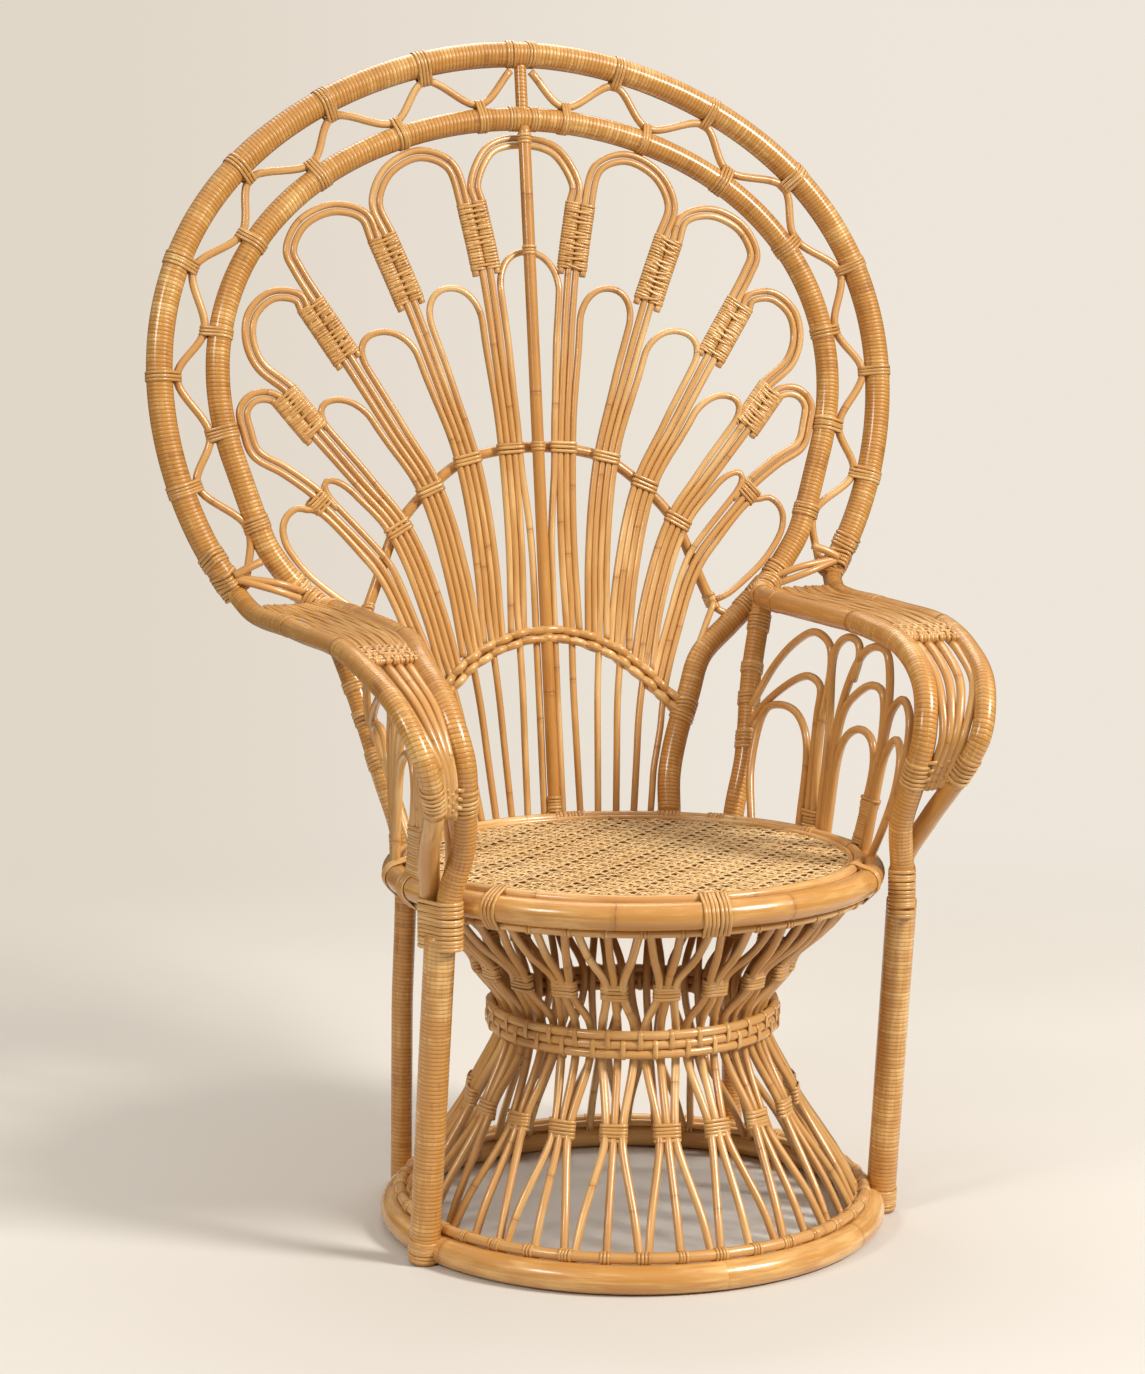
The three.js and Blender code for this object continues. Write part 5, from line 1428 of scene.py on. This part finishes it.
# %% Canes that fan out under the arm
arm_fans = [
    [(0, 0.52), (0.14, 0.755), (0.24, 0.91), (0.32, 0.975),
     (0.375, 0.93), (0.385, 0.84), (0.35, 0.49), (0.33, -0.03)],
    [(0, 0.43), (0.08, 0.545), (0.24, 0.72), (0.305, 0.75),
     (0.345, 0.71), (0.335, 0.57), (0.32, 0.33), (0.3, -0.03)],
    [(0.055, -0.03), (0.035, 0.265), (0.095, 0.525), (0.175, 0.575),
     (0.25, 0.545), (0.29, 0.425), (0.26, -0.03)],
    [(0.36, -0.03), (0.39, 0.525), (0.395, 0.9), (0.44, 0.99),
     (0.48, 0.98), (0.49, 0.925), (0.475, 0.79)],
    [(0.385, -0.03), (0.425, 0.56), (0.495, 0.915), (0.545, 0.995),
     (0.585, 0.99), (0.63, 0.76), (0.645, 0.285), (0.68, -0.03)],
    [(0.39, -0.03), (0.445, 0.605), (0.495, 0.73), (0.555, 0.805),
     (0.595, 0.795), (0.63, 0.61), (0.645, -0.03)],
    [(0.41, -0.03), (0.455, 0.465), (0.525, 0.565), (0.585, 0.545), (0.62, 0.44), (0.615, -0.03)],
    [(0.715, -0.03), (0.65, 0.525), (0.65, 0.74), (0.69, 0.845),
     (0.74, 0.825), (0.8, 0.7), (0.86, 0.53), (0.9, 0.34)],
    [(0.75, -0.03), (0.675, 0.53), (0.715, 0.645), (0.765, 0.615),
     (0.83, 0.47), (0.86, 0.25), (0.85, -0.03)],
]
arm_ties = [
    # the shares along of both edges, the shares up of both ends, and the turns
    (0.29, 0.35, 0.0, 0.09, 6),
    (0.615, 0.7, 0.0, 0.26, 17),
]
arm_cane, arm_tied = 5.1, 4.8
arm_azimuths, arm_span, rail_underside = (131, 58), (0.25, 7.5), 19


def arm_side(along, up):
    """A place under the arm, between the seat rim and the inner rail."""
    azimuth, row = (low + (high - low) * along for low, high in (arm_azimuths, arm_span))
    foot = polar(rim_radius, azimuth, seat_level)
    head = at_row(inner_rail, [row])[0]
    head = head + [0, 12 * max(0, along - 0.75) / 0.25, -rail_underside]
    return foot * (1 - up) + head * up


for name, side in mirror_of.items():
    piece = Piece(f"arm_fan_{name}_canes")
    for shares in arm_fans:
        path = smooth(np.array([arm_side(*share) for share in shares]) * side)
        piece.sweep(path, outward_of(path), round_section(arm_cane, 12), "pale_cane")
    for start, end, low_up, high_up, count in arm_ties:
        for up in np.linspace(low_up, high_up, count):
            narrow = 0.012 * math.sin(math.pi * (up - low_up) / (high_up - low_up))
            edges = (start + narrow, end - narrow)
            poles = [(arm_side(along, up) * side, arm_tied) for along in edges]
            tie(piece, (poles[0][0] + poles[1][0]) / 2, (0, 0, 1), poles, 1, width=4.4)
    piece.make([f"arm_fan_{name}"], "pale_cane")
print("arms made; faces in all:", sum(made.values()))

# %% [markdown]
# ## Floor and light
# The photograph has a plain cream studio. The floor is a wide sheet that fades out with
# distance, and the world behind it is the same cream, so there is no hard horizon from
# any side. Seen from the camera, that cream is painted darker on the left and lighter on
# the right, as painted shade and painted light from the lamp at the front right. A large
# soft lamp stands high at the front right, a weaker one fills in from the left, and a
# third one behind the chair lights the hoops' upper edge.

# %% Floor that fades into the background
floor_radius, rings, spokes = 9.0, 40, 64


def studio_floor():
    """A round sheet; the material given to it below turns transparent further out."""
    angle = np.arange(spokes) * 2 * math.pi / spokes
    points, faces = [(0.0, 0.0, 0.0)], []
    for step in range(1, rings + 1):
        reach = floor_radius * step / rings
        points += [(reach * math.cos(a), reach * math.sin(a), 0.0) for a in angle]
    for k in range(spokes):
        faces.append((0, 1 + k, 1 + (k + 1) % spokes))
        for step in range(rings - 1):
            a, b = 1 + step * spokes, 1 + (step + 1) * spokes
            faces.append((a + k, b + k, b + (k + 1) % spokes, a + (k + 1) % spokes))
    mesh = bpy.data.meshes.new("studio_floor")
    mesh.from_pydata(points, [], faces)
    floor = bpy.data.objects.new("studio_floor", mesh)
    bpy.context.scene.collection.objects.link(floor)
    return floor


floor = studio_floor()
fade_starts, fade_ends = 1.1, 2.7
paper = bpy.data.materials.new("floor_paper")
paper.use_nodes = True
tree = paper.node_tree
shader = tree.nodes["Principled BSDF"]
where = add(tree, "ShaderNodeTexCoord").outputs["Object"]
cloud = add(tree, "ShaderNodeTexNoise", {"Vector": where, "Scale": 1.3, "Detail": 2.0}).outputs[0]
darker_paper, lighter_paper = (0.655, 0.637, 0.612), (0.67, 0.652, 0.627)
tint = mixed(tree, ranged(tree, cloud, 0.3, 0.7), darker_paper, lighter_paper)
tree.links.new(tint, shader.inputs["Base Color"])
shader.inputs["Roughness"].default_value = 0.85
shader.inputs["Specular IOR Level"].default_value = 0.0
distance = add(tree, "ShaderNodeVectorMath", {0: where}, operation="LENGTH").outputs["Value"]
fade = ranged(tree, distance, fade_starts, fade_ends)
clear = add(tree, "ShaderNodeBsdfTransparent")
blend = add(tree, "ShaderNodeMixShader", {0: fade, 1: shader.outputs[0], 2: clear.outputs[0]})
tree.links.new(blend.outputs[0], tree.nodes["Material Output"].inputs["Surface"])
floor.data.materials.append(paper)

# %% World and lamps
camera_right = (0.942, -0.335, 0.0)
# Backdrop colours: the left one is painted shade, the right one painted light from the lamp at the
# right.
wall_left_painted_shade, wall_right_painted_light = (0.745, 0.675, 0.58), (0.855, 0.79, 0.70)
ground_light, sky_light = (0.16, 0.125, 0.085), (1.12, 1.03, 0.90)
ambient_strength = 0.62
world = bpy.data.worlds.new("studio")
world.use_nodes = True
bpy.context.scene.world = world
tree = world.node_tree
background = tree.nodes["Background"]
path = add(tree, "ShaderNodeLightPath")
seen = maths(tree, "MAXIMUM", path.outputs["Is Camera Ray"], path.outputs["Is Transmission Ray"])
way = add(tree, "ShaderNodeTexCoord").outputs["Generated"]
dotted = add(tree, "ShaderNodeVectorMath", {0: way, 1: camera_right}, operation="DOT_PRODUCT")
# The backdrop is painted darker to the left and lighter to the right, as painted shade and painted
# light.
wall = mixed(tree, ranged(tree, dotted.outputs["Value"], -0.2, 0.12), wall_left_painted_shade, wall_right_painted_light)
height = add(tree, "ShaderNodeSeparateXYZ", {0: way}).outputs["Z"]
ambient = mixed(tree, ranged(tree, height, 0.0, 0.9), ground_light, sky_light)
colour = mixed(tree, seen, ambient, wall)
tree.links.new(colour, background.inputs["Color"])
level = ranged(tree, seen, 0.0, 1.0, ambient_strength, 1.0, "LINEAR")
tree.links.new(level, background.inputs["Strength"])


def soft_lamp(name, place, aim, size, power, colour):
    """A round lamp in metres and watts that looks at its aim."""
    light = bpy.data.lights.new(name, "AREA")
    light.shape, light.size, light.energy, light.color = "DISK", size, power, colour
    lamp = bpy.data.objects.new(name, light)
    bpy.context.scene.collection.objects.link(lamp)
    lamp.location = place
    lamp.rotation_euler = (Vector(aim) - Vector(place)).to_track_quat("-Z", "Y").to_euler()


soft_lamp("key_lamp", (3.3, -3.75, 4.1), (0, 0, 0.6), 1.5, 375, (1.0, 0.955, 0.885))
soft_lamp("fill_lamp", (-3.0, -1.6, 2.4), (0, 0, 0.8), 0.8, 42, (1.0, 0.95, 0.88))
soft_lamp("top_lamp", (0.3, 1.6, 3.0), (0, 0, 0.8), 1.8, 30, (1.0, 0.96, 0.9))

# %% [markdown]
# ## Camera
# The camera's place was worked out from the three round rings of the photograph, whose
# ellipses fix the distance, the height and the lens. A lens of 75 mm from 3.4 metres
# keeps the legs nearly upright.

# %% The photograph's camera
camera_data = bpy.data.cameras.new("photo_camera")
camera_data.lens, camera_data.sensor_width = 75.4, 36
camera = bpy.data.objects.new("photo_camera", camera_data)
bpy.context.scene.collection.objects.link(camera)
camera.location = (-1.2103, -3.1860 + axis_y, 1.0983)
target = Vector((-0.0685, 0.0244 + axis_y, 0.6499))
camera.rotation_euler = (target - camera.location).to_track_quat("-Z", "Y").to_euler()
bpy.context.scene.camera = camera
bpy.context.scene.view_settings.view_transform = "Standard"
